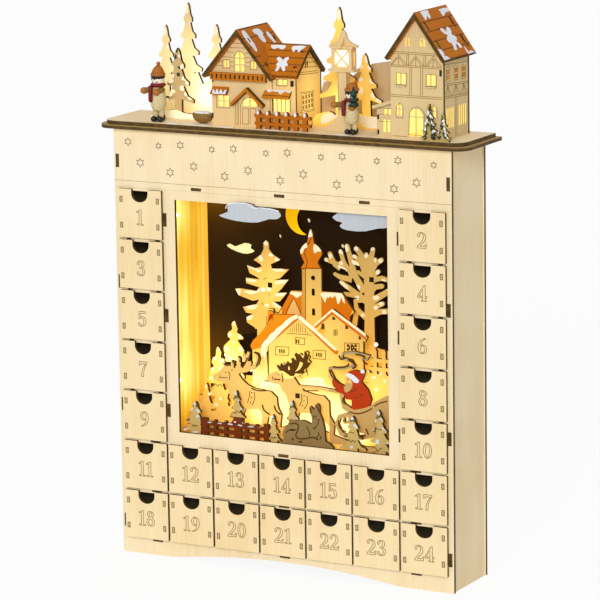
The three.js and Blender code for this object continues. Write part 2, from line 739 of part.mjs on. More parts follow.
function sleighLayer() {
  const bank = shapeOf([
    [-sceneHalf, sceneGround], [sceneHalf, sceneGround], [sceneHalf, 112], [66, 108.5], [46, 113], [30, 117.5],
    [0, 117.5], [-60, 115.5], [-100, 111], [-sceneHalf, 108],
  ]);
  const leader = softShape([
    [-74, 155], [-68.5, 158.5], [-64.5, 162.5], [-63.5, 166], [-60, 164], [-57, 164.5], [-56, 169], [-53.5, 168],
    [-53, 164], [-50.8, 166], [-50, 173], [-48, 172], [-47.8, 168], [-48, 164.5], [-45.5, 164.5], [-43.6, 169],
    [-45.2, 172], [-45, 177.5], [-43, 174.5], [-41, 178], [-39, 177], [-40.5, 173], [-41.3, 169.5],
    [-38.5, 170], [-37.5, 168], [-39, 165.8], [-35.5, 167], [-33, 171.5], [-33, 175], [-35.3, 177.8],
    [-31.5, 177], [-29.8, 172.5], [-31.5, 167], [-36.5, 163], [-42, 160.5], [-48, 159], [-50.3, 158],
    [-46.5, 153.5], [-42, 150], [-36.5, 147.6], [-25, 146.6], [-20, 146], [-14.5, 141.5], [-14.3, 136.5],
    [-13.3, 132.5], [-10.5, 127.5], [-11.5, 120.5], [-12, 114], [-17, 114], [-16, 122], [-18.5, 126.5],
    [-23, 124], [-25, 114], [-30, 114], [-28.5, 122.5], [-28.7, 127.5], [-32, 130.4], [-44, 129],
    [-46, 125.5], [-47, 114], [-52.5, 114], [-51.3, 123], [-52.5, 132], [-57.5, 137], [-60, 143.5],
    [-61, 149], [-67, 150], [-72.5, 151], [-74.8, 153],
  ], 1);
  const follower = softShape([
    [-23.5, 158], [-20.5, 161], [-13, 164.2], [-10, 164.4], [-11, 166.6], [-13.6, 168.5], [-9.8, 169.3],
    [-8, 171.2], [-6.5, 170], [-5.2, 172.4], [-2.6, 171], [0, 175.8], [2, 174], [3.2, 180.2], [5.6, 178],
    [7.5, 180.6], [10.4, 178.8], [13, 183.2], [15.4, 182], [14.8, 179.2], [16.6, 178.6], [15.3, 175.5],
    [17.6, 174.2], [14.8, 170.6], [12.4, 167.4], [13, 165], [5, 162], [1.4, 160.2], [6.5, 153.6], [11, 149.4],
    [21, 147.4], [29, 147], [33.8, 142.6], [34, 135], [34.5, 130.5], [38.6, 124.6], [37.5, 114], [33, 114],
    [34.2, 121.5], [29.5, 126.5], [25.5, 128.4], [16.5, 131.4], [6, 131], [3.5, 122], [2.5, 114], [-3, 114],
    [-3.5, 122], [-4, 128], [-2.6, 135], [-6, 145], [-10, 148.6], [-11.6, 153], [-21, 154], [-23.6, 156.2],
  ], 1);
  const sleigh = softShape([
    [43, 153.4], [47.6, 151.4], [47, 145], [48.4, 142.4], [54.5, 139.6], [61, 138.4], [68.5, 141], [76.5, 147],
    [83, 151], [89, 153.4], [96, 154], [101, 150], [102, 136], [99, 124], [88, 121.6], [78, 120.5], [68, 119],
    [60, 120], [56, 125], [54.5, 133.6], [46, 138.4], [44.2, 145],
  ], 1);
  const driver = softShape([
    [49, 164.5], [50.4, 168], [53, 170], [58, 171.2], [63, 170.2], [63.8, 172.4], [66, 172.8], [67, 170.8],
    [65.6, 166], [63.6, 162], [69.5, 156], [72.6, 148], [70, 141], [62, 137], [54.5, 139], [54.4, 146.3],
    [49.2, 146.4], [47.8, 150.5], [41, 153.6], [37.8, 156.2], [36.4, 160.5], [33.6, 162.6], [33.4, 166],
    [35, 169.2], [37, 166.5], [39.5, 162], [44, 158.8], [48.8, 157],
  ], 1);
  const straps = [
    [[[34.6, 165], [34.6, 170.6], [47.5, 171.8], [57.6, 174.5], [54.5, 178.5], [45.6, 180.4], [47, 184], [58, 185.6],
      [71, 184.4], [68.5, 180.6], [65, 181]], 2.4, 1.8],
    [[[6, 152.6], [25, 153], [46, 151.6]], 2.6, 2.6],
    [[[56, 131], [50, 133.4], [43, 131], [40.6, 124.5], [44.5, 117], [54, 113.6], [66, 116.6], [82, 120.5],
      [98, 123]], 3.4, 4],
    [[[52.5, 131.5], [51.6, 127], [47.6, 126.4], [47.2, 129.6]], 2.2, 2],
    [[[57, 108], [57, 116]], 4, 4],
    [[[88, 108], [88, 122]], 4, 4],
  ].map(([points, start, end]) => strokeShape(points, start, end));
  return layer(sleighAt, [bank, leader, follower, sleigh, driver, ...straps]);
}

function foregroundLayer() {
  const strip = rectangle(-sceneHalf, sceneHalf, sceneGround, 105.8);
  const firs = [
    firShape(-87, 104, 133.4, 12.5, 3, 5, 3, 0.5),
    firShape(-46.5, 104, 146.3, 9.5, 4, 3, 12, -1),
    firShape(-12.5, 104, 129.4, 6.5, 3, 3, 3, -1),
    firShape(5, 104, 142.6, 10, 4, 3, 8, -0.5),
    firShape(60, 104, 135.4, 12, 3, 4, 3),
    firShape(86, 104, 142.5, 12, 4, 4, 3, -2.5),
  ];
  const doe = softShape([
    [-6, 104], [-4, 110], [-4.4, 116], [-1.5, 121], [2.6, 123.6], [7.5, 125.6], [13, 127.3], [17.5, 126.6],
    [22.4, 124.8], [22.2, 131.5], [20.6, 136.5], [21, 139.6], [23.2, 138.2], [25, 136.6], [25.8, 141],
    [27.6, 142.6], [29.8, 140], [29.6, 135], [31.2, 131.5], [33, 127], [34.2, 120], [35, 111.6], [39, 110],
    [43, 104],
  ]);
  const pickets = [];
  for (let i = 1; i <= 5; i += 1) {
    const x = -80.8 + i * 9.72 + 1.6;
    pickets.push(rectangle(x, x + 2.9, 104, 119.4));
  }
  const fence = [
    rectangle(-80.8, -75.3, 104, 120.4),
    rectangle(-22.4, -17.4, 104, 120.4),
    rectangle(-78, -20, 114.6, 117.4),
    rectangle(-78, -20, 108.8, 111.6),
    ...pickets,
  ];
  return layer(foregroundAt, [strip, ...firs, doe, ...fence]);
}

// Village on the plate

function archShape(x0, x1, z0, height, segments = 4) {
  const half = (x1 - x0) / 2;
  const points = [[x0, z0], [x1, z0]];
  for (let i = 0; i <= segments; i += 1) {
    const angle = i / segments * Math.PI;
    points.push([x0 + half + Math.cos(angle) * half, z0 + height - half + Math.sin(angle) * half]);
  }
  return shapeOf(points);
}

// Panes of one window: a rectangle or arch with the glazing bars left standing.
function panes(shape, bars) {
  return { shape, bars };
}

function barsIn(x0, x1, z0, z1, across, up, bar = 0.9) {
  const list = [];
  for (let i = 1; i < across; i += 1) {
    const x = x0 + (x1 - x0) * i / across;
    list.push([x - bar / 2, x + bar / 2, z0 - 1, z1 + 1]);
  }
  for (let i = 1; i < up; i += 1) {
    const z = z0 + (z1 - z0) * i / up;
    list.push([x0 - 1, x1 + 1, z - bar / 2, z + bar / 2]);
  }
  return list;
}

function squareWindow(x0, x1, z0, z1, across, up) {
  return panes(rectangle(x0, x1, z0, z1), barsIn(x0, x1, z0, z1, across, up));
}

function archWindow(x0, x1, z0, z1, across, up) {
  return panes(archShape(x0, x1, z0, z1 - z0), barsIn(x0, x1, z0, z1, across, up));
}

function cutFront(wall, window, depth) {
  let hole = upright(window.shape, depth - 1, ply + 2);
  for (const [x0, x1, z0, z1] of window.bars) {
    hole = hole.subtract(block(x0, x1, depth - 2, depth + ply + 2, z0, z1));
  }
  return wall.subtract(hole);
}

function cutSide(wall, window, x) {
  let hole = sideways(window.shape, x - 1, ply + 2);
  for (const [depth0, depth1, z0, z1] of window.bars) {
    hole = hole.subtract(block(x - 2, x + ply + 2, depth0, depth1, z0, z1));
  }
  return wall.subtract(hole);
}

// A saddle roof of two boards seen end on, and the room under it.
function roofShape(ridgeX, ridgeZ, halfSpan, drop, thick) {
  const slope = Math.atan2(drop, halfSpan);
  const under = thick / Math.cos(slope);
  const dx = thick * Math.sin(slope);
  const dz = thick * Math.cos(slope);
  return shapeOf([
    [ridgeX - halfSpan, ridgeZ - drop], [ridgeX - halfSpan + dx, ridgeZ - drop - dz],
    [ridgeX, ridgeZ - under], [ridgeX + halfSpan - dx, ridgeZ - drop - dz],
    [ridgeX + halfSpan, ridgeZ - drop], [ridgeX, ridgeZ],
  ]);
}

function roomShape(ridgeX, ridgeZ, halfSpan, drop, lowered, bottom) {
  return shapeOf([
    [ridgeX - halfSpan, bottom], [ridgeX + halfSpan, bottom],
    [ridgeX + halfSpan, ridgeZ - drop - lowered], [ridgeX, ridgeZ - lowered],
    [ridgeX - halfSpan, ridgeZ - drop - lowered],
  ]);
}

// A tenon of the gable wall that comes up through a sloping roof board.
function slopeTenon(ridge, slope, side, down, depth, long, from, to, fit = 0) {
  const geometry = new THREE.BoxGeometry(long + fit * 2, ply + fit * 2, to - from);
  geometry.translate(0, 0, (from + to) / 2);
  geometry.rotateY(side * slope);
  const x = ridge.x + side * Math.cos(slope) * down;
  const z = ridge.z - Math.sin(slope) * down;
  geometry.translate(x, faceY + depth + ply / 2, z);
  return solidFrom(geometry);
}

const town = {
  left: 99.6, right: 145.6, front: 3.5, back: 50.5, ridgeZ: 466, halfSpan: 26.5, drop: 37,
  roofFront: -0.5, roofBack: 56,
};
town.ridgeX = (town.left + town.right) / 2;
town.slope = Math.atan2(town.drop, town.halfSpan);
town.under = ply / Math.cos(town.slope);
const townTenons = [[14, 6.5], [31, 6.5]];

function townhouseRoof() {
  const outline = roofShape(town.ridgeX, town.ridgeZ, town.halfSpan, town.drop, ply);
  let roof = upright(outline, town.roofFront, town.roofBack - town.roofFront);
  const ridge = { x: town.ridgeX, z: town.ridgeZ };
  for (const depth of [town.front, town.back - ply]) {
    for (const [down, long] of townTenons) {
      for (const side of [-1, 1]) {
        roof = roof.subtract(slopeTenon(ridge, town.slope, side, down, depth, long, -5, 2, mortiseFit));
      }
    }
  }
  return roof;
}

function townhouseWalls() {
  const { left, right, front, back } = town;
  const room = roomShape(
    town.ridgeX, town.ridgeZ, (right - left) / 2, town.drop * (right - left) / 2 / town.halfSpan,
    town.under + glueGap * 2, ground,
  );
  const whole = upright(room, front, back - front);
  const inside = block(left + ply, right - ply, front + ply, back - ply, ground - 1, town.ridgeZ);
  let walls = whole.subtract(inside);
  const ridge = { x: town.ridgeX, z: town.ridgeZ };
  for (const depth of [front, back - ply]) {
    for (const [down, long] of townTenons) {
      for (const side of [-1, 1]) {
        walls = walls.add(slopeTenon(ridge, town.slope, side, down, depth, long, -5, -1.2));
      }
    }
  }
  const z = plateTop;
  const frontWindows = [
    archWindow(112.4, 117.3, z + 73.8, z + 80.6, 2, 1),
    archWindow(125.1, 130, z + 73.8, z + 80.6, 2, 1),
    squareWindow(104.1, 112.5, z + 43.4, z + 51.7, 2, 1),
    squareWindow(130.5, 138.5, z + 43.4, z + 51.7, 2, 1),
    archWindow(103.9, 109.1, z + 18.4, z + 28.2, 2, 2),
    archWindow(133.5, 138.9, z + 18.4, z + 28.2, 2, 2),
    squareWindow(115.2, 127.4, z + 2.4, z + 17.4, 2, 1),
    panes(
      archShape(115.2, 127.4, z + 18.4, 6.1, 6),
      [[120.85, 121.75, z, z + 30]],
    ),
  ];
  for (const window of frontWindows) {
    walls = cutFront(walls, window, front);
  }
  const sideWindows = [
    ...[13.2, 27, 40.8].map((d) => archWindow(d - 2.6, d + 2.6, z + 46.6, z + 57.2, 2, 2)),
    squareWindow(8.5, 22.5, z + 9, z + 25, 4, 1),
    squareWindow(31, 45, z + 9, z + 25, 4, 1),
  ];
  for (const window of sideWindows) {
    walls = cutSide(walls, window, right - ply);
  }
  const sills = [[103.6, 113], [130, 139]].map(
    ([x0, x1]) => block(x0, x1, front - 1.2, front + 0.5, z + 41.6, z + 42.6),
  );
  const feet = [
    foot(left + 6, left + 14, front, front + ply),
    foot(right - 14, right - 6, front, front + ply),
    foot(left + 14, right - 14, back - ply, back),
  ];
  return joined([walls, ...sills, ...feet]);
}

const chalet = {
  left: -66, right: 10.5, front: 10, back: 56, ridgeX: -40, ridgeZ: 444.5, halfSpan: 32.5, drop: 38.5,
  roofFront: 5, roofBack: 57.5, wingRidge: 33, wingZ: 431.5, wingHalf: 25, wingDrop: 22.8, wingEnd: 13,
};
chalet.slope = Math.atan2(chalet.drop, chalet.halfSpan);
chalet.under = ply / Math.cos(chalet.slope);
chalet.wingUnder = ply / Math.cos(Math.atan2(chalet.wingDrop, chalet.wingHalf));
const chaletTenons = [[16, 6.5]];

function chaletRoof() {
  const c = chalet;
  const main = upright(
    roofShape(c.ridgeX, c.ridgeZ, c.halfSpan, c.drop, ply), c.roofFront, c.roofBack - c.roofFront,
  );
  const covered = upright(
    roomShape(c.ridgeX, c.ridgeZ, c.halfSpan, c.drop, 0.5, ground), c.roofFront, c.roofBack,
  );
  const wingLine = roofShape(c.wingRidge, c.wingZ, c.wingHalf, c.wingDrop, ply);
  const wing = sideways(wingLine, c.ridgeX, c.wingEnd - c.ridgeX).subtract(covered);
  let roof = main.add(wing);
  const ridge = { x: c.ridgeX, z: c.ridgeZ };
  for (const [down, long] of chaletTenons) {
    roof = roof.subtract(slopeTenon(ridge, c.slope, 1, down, c.front, long, -5, 2, mortiseFit));
    roof = roof.subtract(slopeTenon(ridge, c.slope, -1, down, c.front, long, -5, 2, mortiseFit));
  }
  return roof;
}

function balcony() {
  const z = plateTop;
  let board = upright(rectangle(-65.6, -14.4, z + 37.6, z + 43.8), 6.4, 2);
  for (let i = 0; i < 12; i += 1) {
    const x = -64.2 + i * 4.2;
    board = board.subtract(upright(shapeOf([
      [x, z + 39], [x + 1.8, z + 39], [x + 1.8, z + 42.4], [x, z + 42.4],
    ]), 6, 3));
  }
  const deck = block(-65.4, -14.6, 6.6, chalet.front + 1, z + 37.6, z + 38.6);
  return board.add(deck);
}

function awning(x0, x1, top, bottom) {
  const wall = chalet.front;
  const line = shapeOf([
    [wall + 0.5, top], [wall + 0.5, top - 2.2], [wall - 4.4, bottom], [wall - 6, bottom + 0.8],
  ]);
  return sideways(line, x0, x1 - x0);
}

function chaletWalls() {
  const c = chalet;
  const z = plateTop;
  const lowered = c.under + glueGap * 2;
  const mainHalf = c.halfSpan - ply;
  const mainRoom = upright(
    roomShape(c.ridgeX, c.ridgeZ, mainHalf, c.drop * mainHalf / c.halfSpan, lowered, ground),
    c.front, c.back - c.front,
  );
  const wingHalf = c.wingHalf - ply;
  const wingRoom = sideways(
    roomShape(
      c.wingRidge, c.wingZ, wingHalf, c.wingDrop * wingHalf / c.wingHalf, c.wingUnder + glueGap * 2, ground,
    ),
    c.ridgeX, c.right - c.ridgeX,
  );
  const body = block(c.left, c.right, c.front, c.back, ground, c.ridgeZ);
  const inside = block(c.left + ply, c.right - ply, c.front + ply, c.back - ply, ground - 1, c.ridgeZ);
  const seatSpan = c.halfSpan + runningGap * 2;
  const seat = upright(
    roofShape(
      c.ridgeX, c.ridgeZ + runningGap, seatSpan, c.drop * seatSpan / c.halfSpan, ply + runningGap * 2,
    ),
    c.front - 1, c.back,
  );
  let walls = mainRoom.add(wingRoom).intersect(body).subtract(inside).subtract(seat);
  const ridge = { x: c.ridgeX, z: c.ridgeZ };
  for (const [down, long] of chaletTenons) {
    walls = walls.add(slopeTenon(ridge, c.slope, 1, down, c.front, long, -5, -1.2));
    walls = walls.add(slopeTenon(ridge, c.slope, -1, down, c.front, long, -5, -1.2));
  }
  const frontWindows = [
    archWindow(-44.6, -35, z + 44.9, z + 61, 2, 3),
    squareWindow(-54.5, -49.5, z + 47.8, z + 53.2, 2, 1),
    squareWindow(-29.6, -24.6, z + 47.8, z + 53.2, 2, 1),
    squareWindow(-60.4, -50.4, z + 15.6, z + 24.4, 2, 2),
    squareWindow(-10.6, 4.6, z + 13.9, z + 24.4, 4, 1),
    squareWindow(-5.2, 2.6, z + 35.8, z + 40, 2, 1),
    panes(
      archShape(-38.2, -24.6, z + 17, 6.9, 6),
      [[-31.85, -30.95, z, z + 30]],
    ),
  ];
  for (const window of frontWindows) {
    walls = cutFront(walls, window, c.front);
  }
  const endWindows = [
    squareWindow(22, 40, z + 12, z + 28.5, 4, 2),
    squareWindow(31, 35, z + 48.4, z + 53, 2, 1),
  ];
  for (const window of endWindows) {
    walls = cutSide(walls, window, c.right - ply);
  }
  const canopy = upright(
    roofShape(-32, z + 32.6, 15.6, 13.8, 2.4), c.front - 5, 5.5,
  );
  const feet = [
    foot(c.left + 5, c.left + 15, c.front, c.front + ply),
    foot(c.right - 19, c.right - 9, c.front, c.front + ply),
    foot(c.ridgeX, c.ridgeX + 12, c.back - ply, c.back),
  ];
  return joined([
    walls, balcony(), awning(-65, -50, z + 32.4, z + 25.6), awning(-17, 7.2, z + 31.6, z + 25), canopy, ...feet,
  ]);
}

function leanToShed() {
  const z = plateTop;
  const left = 84.4;
  const right = town.left - glueGap * 2;
  const front = shapeOf([[left, ground], [right, ground], [right, z + 27.4], [left, z + 22.4]]);
  let face = upright(front, 9);
  face = cutFront(face, squareWindow(90.6, 96.6, z + 16.8, z + 22, 2, 1), 9);
  face = cutFront(face, squareWindow(89.4, 96, z + 3.4, z + 13.4, 2, 1), 9);
  const side = block(left, left + ply, 9 + ply - 0.5, 32, ground, z + 22.8);
  const rear = upright(front, 29);
  const roof = upright(shapeOf([
    [left - 2.6, z + 21.6], [right, z + 27.2], [right, z + 30], [left - 3.2, z + 24.2],
  ]), 6.5, 28);
  return joined([face, side, rear, roof, foot(left + 3, right - 3, 29, 29 + ply)]);
}

function streetLamp() {
  const z = plateTop;
  const x = 50.8;
  const depth = 18;
  const post = block(x - 3.8, x + 3.8, depth - 3.8, depth + 3.8, ground, z + 49.6);
  const skirt = upright(softShape([
    [x - 18.5, ground], [x, ground], [x, z + 13], [x - 5, z + 12.4], [x - 9, z + 8.4], [x - 15, z + 4.6],
  ], 2), depth - ply / 2);
  const shelf = block(x - 11.4, x + 11.4, depth - 5.6, depth + 5.6, z + 48.8, z + 50.6);
  let lantern = block(x - 9, x + 9, depth - 4.2, depth + 4.2, z + 50.2, z + 68.4);
  lantern = lantern.subtract(block(x - 7, x + 7, depth - 2.6, depth + 2.6, z + 51.6, z + 67));
  const glass = upright(rectangle(x - 6.6, x + 6.6, z + 52.4, z + 66.2), depth - 6, 12);
  const crosses = [1, -1].map((way) => upright(strokeShape([
    [x - 7.5, z + 59.3 - way * 8], [x + 7.5, z + 59.3 + way * 8],
  ], 1.1, 1.1), depth - 6, 12));
  lantern = lantern.subtract(glass.subtract(joined(crosses)));
  lantern = lantern.subtract(block(x - 12, x + 12, depth - 1.7, depth + 1.7, z + 53, z + 65.4));
  const bell = softShape([
    [x - 12.6, z + 68.2], [x - 12.4, z + 69.8], [x - 7.6, z + 71.6], [x - 3.4, z + 75.2], [x - 2.6, z + 78.6],
    [x, z + 81.6], [x + 2.6, z + 78.6], [x + 3.4, z + 75.2], [x + 7.6, z + 71.6], [x + 12.4, z + 69.8],
    [x + 12.6, z + 68.2], [x, z + 68],
  ], 2);
  const crossBell = shapeOf([
    [depth - 8.4, z + 68], [depth + 8.4, z + 68], [depth + 7.4, z + 70], [depth + 4.4, z + 72.4],
    [depth + 2, z + 76], [depth, z + 79], [depth - 2, z + 76], [depth - 4.4, z + 72.4], [depth - 7.4, z + 70],
  ]);
  const cap = block(x - 10.4, x + 10.4, depth - 5.4, depth + 5.4, z + 67.6, z + 69.2);
  const body = standing([
    post, skirt, shelf, lantern, cap, upright(bell, depth - 1.25, 2.5), sideways(crossBell, x - 1.25, 2.5),
  ]);
  return body.add(foot(x - 3, x + 3, depth - 3, depth + 3));
}

const rearAt = 56.3;
const rearThick = 2.6;

function rearSilhouette() {
  const z = plateTop;
  const skyline = shapeOf([
    [-141, ground], [98.4, ground], [98.4, z + 56], [84, z + 55], [56, z + 50], [44, z + 44], [32, z + 33],
    [24, z + 37], [12, z + 33], [8, z + 20], [-60, z + 18], [-88, z + 15], [-95, z + 30], [-101, z + 25],
    [-106, z + 36], [-120, z + 22], [-141, z + 12],
  ]);
  const shapes = [
    skyline,
    firShape(-136, z + 8, z + 73, 12.5, 4, 3, 14, 0.5),
    firShape(-115, z + 8, z + 92.4, 16, 5, 3, 14, 1),
    firShape(-87.5, z + 8, z + 75.6, 14, 4, 3, 14, 0),
  ];
  return joined([
    ...shapes.map((shape) => upright(shape, rearAt, rearThick)),
    foot(-120, -108, rearAt, rearAt + rearThick), foot(60, 72, rearAt, rearAt + rearThick),
  ]);
}

function paintedFir() {
  const z = plateTop;
  const mound = softShape([
    [-138, ground], [-93.5, ground], [-94.5, z + 3.6], [-104, z + 4.6], [-112, z + 7], [-121, z + 6], [-130, z + 3.4],
  ], 2);
  const fir = firShape(-109.4, z + 2, z + 58.2, 14.6, 3, 3.2, 11, 0);
  return standing([upright(mound, 30), upright(fir, 30)]).add(foot(-113, -105, 30, 30 + ply));
}

function lampFirs() {
  const z = plateTop;
  const near = 37;
  const mounds = [
    softShape([[12, ground], [34, ground], [33, z + 9], [27, z + 12.6], [19, z + 10.6], [13.5, z + 8]], 2),
    softShape([[46, ground], [73, ground], [72.6, z + 9.8], [64, z + 10.6], [54, z + 12.6], [47, z + 8]], 2),
  ];
  const shapes = [
    ...mounds,
    rectangle(20, 62, ground, z + 3),
    firShape(36.2, z + 1, z + 97.2, 18, 5, 3.4, 22, 0.5),
    firShape(61, z + 1, z + 61, 14, 3, 3.8, 20, -1.6),
  ];
  const feet = [foot(30, 42, near, near + ply), foot(54, 66, near, near + ply)];
  return joined([standing(shapes.map((shape) => upright(shape, near))), ...feet]);
}

function frontFirs() {
  const z = plateTop;
  const shapes = [
    firShape(135.4, ground, z + 29.4, 8, 5, 3, 2.4, -0.6),
    firShape(147.4, ground, z + 22.6, 6.2, 4, 2.6, 2, -0.4),
    rectangle(130, 152, ground, z + 2),
  ];
  return joined([
    ...shapes.map((shape) => upright(shape, -0.6, 2.6)), foot(133, 138, -0.6, 2),
  ]);
}

function picketFence() {
  const z = plateTop;
  const shapes = [
    rectangle(-24, 27, z + 3.4, z + 5.8),
    rectangle(-24, 27, z + 9.4, z + 12),
  ];
  for (let i = 0; i < 6; i += 1) {
    const x = -20.8 + i * 8.5;
    shapes.push(shapeOf([
      [x - 2, ground], [x + 2, ground], [x + 2, z + 13.4], [x + 1.1, z + 15], [x - 1.1, z + 15], [x - 2, z + 13.4],
    ]));
  }
  return joined([
    ...shapes.map((shape) => upright(shape, 4.6, 2.6)), foot(-13.8, -10.8, 4.6, 7.2), foot(11.7, 14.7, 4.6, 7.2),
  ]);
}

// Turned wooden child in winter clothes; reach says where the two mittens are held.
function figure(x, depth, scale, hatLean, mittens, extra) {
  const z = (height) => ground + height * scale;
  const across = (offset) => x + offset * scale;
  const coat = turned([
    [0, z(9.4)], [4.6 * scale, z(9.4)], [5.8 * scale, z(13)], [5.6 * scale, z(19)], [5 * scale, z(25)],
    [3.6 * scale, z(30)], [0, z(30)],
  ], x, depth);
  const legs = [-2.9, 2.9].map((offset) => rod(
    [across(offset), depth, z(3)], [across(offset), depth, z(12)], 2.3 * scale,
  ));
  const boots = [-3, 3].map((offset) => ball(
    across(offset), depth - 1.4 * scale, z(2.55), 2.9 * scale, 4.3 * scale, 2.55 * scale, 8, 5,
  ));
  const head = ball(x, depth, z(34.4), 5.2 * scale, 5 * scale, 5 * scale, 10, 7);
  const scarf = turned([
    [0, z(28.6)], [5.2 * scale, z(28.6)], [6.2 * scale, z(30.4)], [5.2 * scale, z(32)], [0, z(32)],
  ], x, depth);
  const scarfEnd = block(
    across(-4.4), across(-1.2), depth - 6.4 * scale, depth - 3.4 * scale, z(15.6), z(30.6),
  );
  const hat = turned([
    [0, z(36.4)], [5.9 * scale, z(36.4)], [6 * scale, z(38.4)], [4.6 * scale, z(42.4)], [1.6 * scale, z(46)],
    [0, z(46.6)],
  ], x, depth, 10, hatLean / 10);
  const bobble = ball(across(hatLean), depth, z(48), 2 * scale, 2 * scale, 2.2 * scale, 7, 5);
  const arms = mittens.map(([offset, forward, height, shoulder]) => rod(
    [across(shoulder), depth, z(26)], [across(offset), depth - forward * scale, z(height)], 2.3 * scale,
  ));
  const hands = mittens.map(([offset, forward, height]) => ball(
    across(offset), depth - forward * scale, z(height), 3 * scale, 3 * scale, 3.1 * scale, 7, 5,
  ));
  const peg = turned([[0, fasciaTop + ply + glueGap * 2], [2, fasciaTop + ply + glueGap * 2],
    [2, z(3)], [0, z(3)]], x, depth + 1, 8);
  const web = block(across(-3), across(3), depth - 1, depth + 2, ground, z(4));
  villageFeet.push([x - 2.1, x + 2.1, depth - 1.1, depth + 3.1]);
  return standing([
    coat, ...legs, ...boots, head, scarf, scarfEnd, hat, bobble, ...arms, ...hands, web, ...extra,
  ]).add(peg);
}

function leftFigure() {
  return figure(-115.6, 8.7, 1, 0.4, [[-13, 1.5, 25.2, -4], [1.6, 6.6, 25, 5]], []);
}

function rightFigure() {
  const x = 62.4;
  const depth = 8.4;
  const scale = 0.92;
  const z = (height) => ground + height * scale;
  const tree = turned([
    [0, z(24)], [4.6, z(24.4)], [3, z(30)], [3.6, z(30.6)], [1.8, z(37)], [0, z(42)],
  ], x + 2.6, depth - 6.4, 9);
  return figure(x, depth, scale, 4.6, [[-17, 2.5, 25, -4], [1.2, 5.6, 22.6, 5]], [tree]);
}

// Small hollowed sled: a hull with its inside dished out.
function sled() {
  const z = plateTop;
  const hull = ball(-77, 14, z + 6.6, 9.8, 5, 6.5, 14, 8);
  const dish = ball(-76.6, 14, z + 11.6, 8.4, 3.9, 6.4, 12, 6);
  const trimmed = hull.subtract(dish).subtract(block(-90, -60, 5, 25, z + 8.6, z + 20));
  const keel = block(-80, -74, 12.4, 15.6, ground, z + 2.4);
  return joined([trimmed, keel]);
}

// Power pack

function batteryBox() {
  const top = packBottom + packHeight;
  const shell = block(packLeft, packRight, packFront, packBack, packBottom, top);
  const bay = block(
    packLeft + packWall, lidRight, packFront + packWall, packBack + 1, packBottom + packWall, top - packWall,
  );
  const switchBay = block(
    lidRight + packWall, packRight - packWall, packFront + packWall, packBack - packWall,
    packBottom + packWall, top - packWall,
  );
  const middle = packBottom + packHeight / 2;
  const slot = block(41, 41 + 4.4 + switchTravel + runningGap * 2, packBack - 3, packBack + 1, middle - 1.9, middle + 1.9);
  return shell.subtract(bay).subtract(switchBay).subtract(slot);
}

function batteryCover() {
  const top = packBottom + packHeight;
  const gap = runningGap;
  const plate = block(
    packLeft + packWall + gap, lidRight - gap, packBack - 2, packBack,
    packBottom + packWall + gap, top - packWall - gap,
  );
  const grip = block(-8, 8, packBack - 0.8, packBack + 1, packBottom + 3.4, packBottom + 5.4);
  return plate.add(grip);
}

function switchSlider() {
  const middle = packBottom + packHeight / 2;
  const x = 41 + runningGap;
  const knob = block(x, x + 4.4, packBack - 3.4, packBack + 1.2, middle - 1.6, middle + 1.6);
  const flange = block(x - 1.2, x + 5.6, packBack - 3.6, packBack - packWall - runningGap, middle - 3, middle + 3);
  return knob.add(flange);
}

// Assembly

drawerPlaces.forEach(([column, row]) => {
  const number = row < openRows
    ? row * 2 + (column === 0 ? 1 : 2)
    : openRows * 2 + (row - openRows) * columns + column + 1;
  addPiece(`drawer_${String(number).padStart(2, '0')}`, drawer(column, row), colors.plywood);
});

addPiece('front_panel', frontPanel(), colors.plywood);
addPiece('star_fascia', starFascia(), colors.plywood);
addPiece('side_panel_left', sidePanel(-1), colors.plywood);
addPiece('side_panel_right', sidePanel(1), colors.plywood);
addPiece('back_panel', backPanel(), colors.inside);
addPiece('drawer_rack_left', drawerRack(-1), colors.inside);
addPiece('drawer_rack_right', drawerRack(1), colors.inside);
addPiece('drawer_grid', drawerGrid(), colors.inside);
addPiece('scene_floor', sceneFloor(), colors.inside);
addPiece('top_shelf', topShelf(), colors.inside);

addPiece('sky_panel', skyPanel(), colors.sky);
addPiece('cloud_valance', cloudValance(), colors.cloud);
addPiece('back_trees', backTrees(), colors.glowingWood);
addPiece('church_layer', churchLayer(), colors.glowingWood);
addPiece('cottage_layer', cottageLayer(), colors.glowingWood);
addPiece('sleigh_layer', sleighLayer(), colors.inside);
addPiece('foreground_layer', foregroundLayer(), colors.fence);

addPiece('chalet_walls', chaletWalls(), colors.plywood);
addPiece('chalet_roof', chaletRoof(), colors.roof);
addPiece('townhouse_walls', townhouseWalls(), colors.plywood);
addPiece('townhouse_roof', townhouseRoof(), colors.roof);
addPiece('lean_to_shed', leanToShed(), colors.plywood);
addPiece('street_lamp', streetLamp(), colors.plywood);
addPiece('rear_silhouette', rearSilhouette(), colors.taupe);
addPiece('painted_fir', paintedFir(), colors.plywood);
addPiece('lamp_firs', lampFirs(), colors.glowingWood);
addPiece('front_firs', frontFirs(), colors.green);
addPiece('picket_fence', picketFence(), colors.roof);
addPiece('figure_left', leftFigure(), colors.coat);
addPiece('figure_right', rightFigure(), colors.coat);
addPiece('sled', sled(), colors.brown, 0.55);

addPiece('cornice_plate', flat(
  roundedPlate(corniceHalf, corniceFront, corniceBack, corniceRadius), fasciaTop,
), colors.plywood);
addPiece('village_plate', villagePlate(), colors.plywood);

addPiece('battery_box', batteryBox(), colors.plastic, 0.5);
addPiece('battery_cover', batteryCover(), colors.plastic, 0.5);
addPiece('switch_slider', switchSlider(), colors.plastic, 0.5);

export default group;
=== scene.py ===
import math
import random

import bmesh
import bpy
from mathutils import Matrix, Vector
from mathutils.geometry import tessellate_polygon


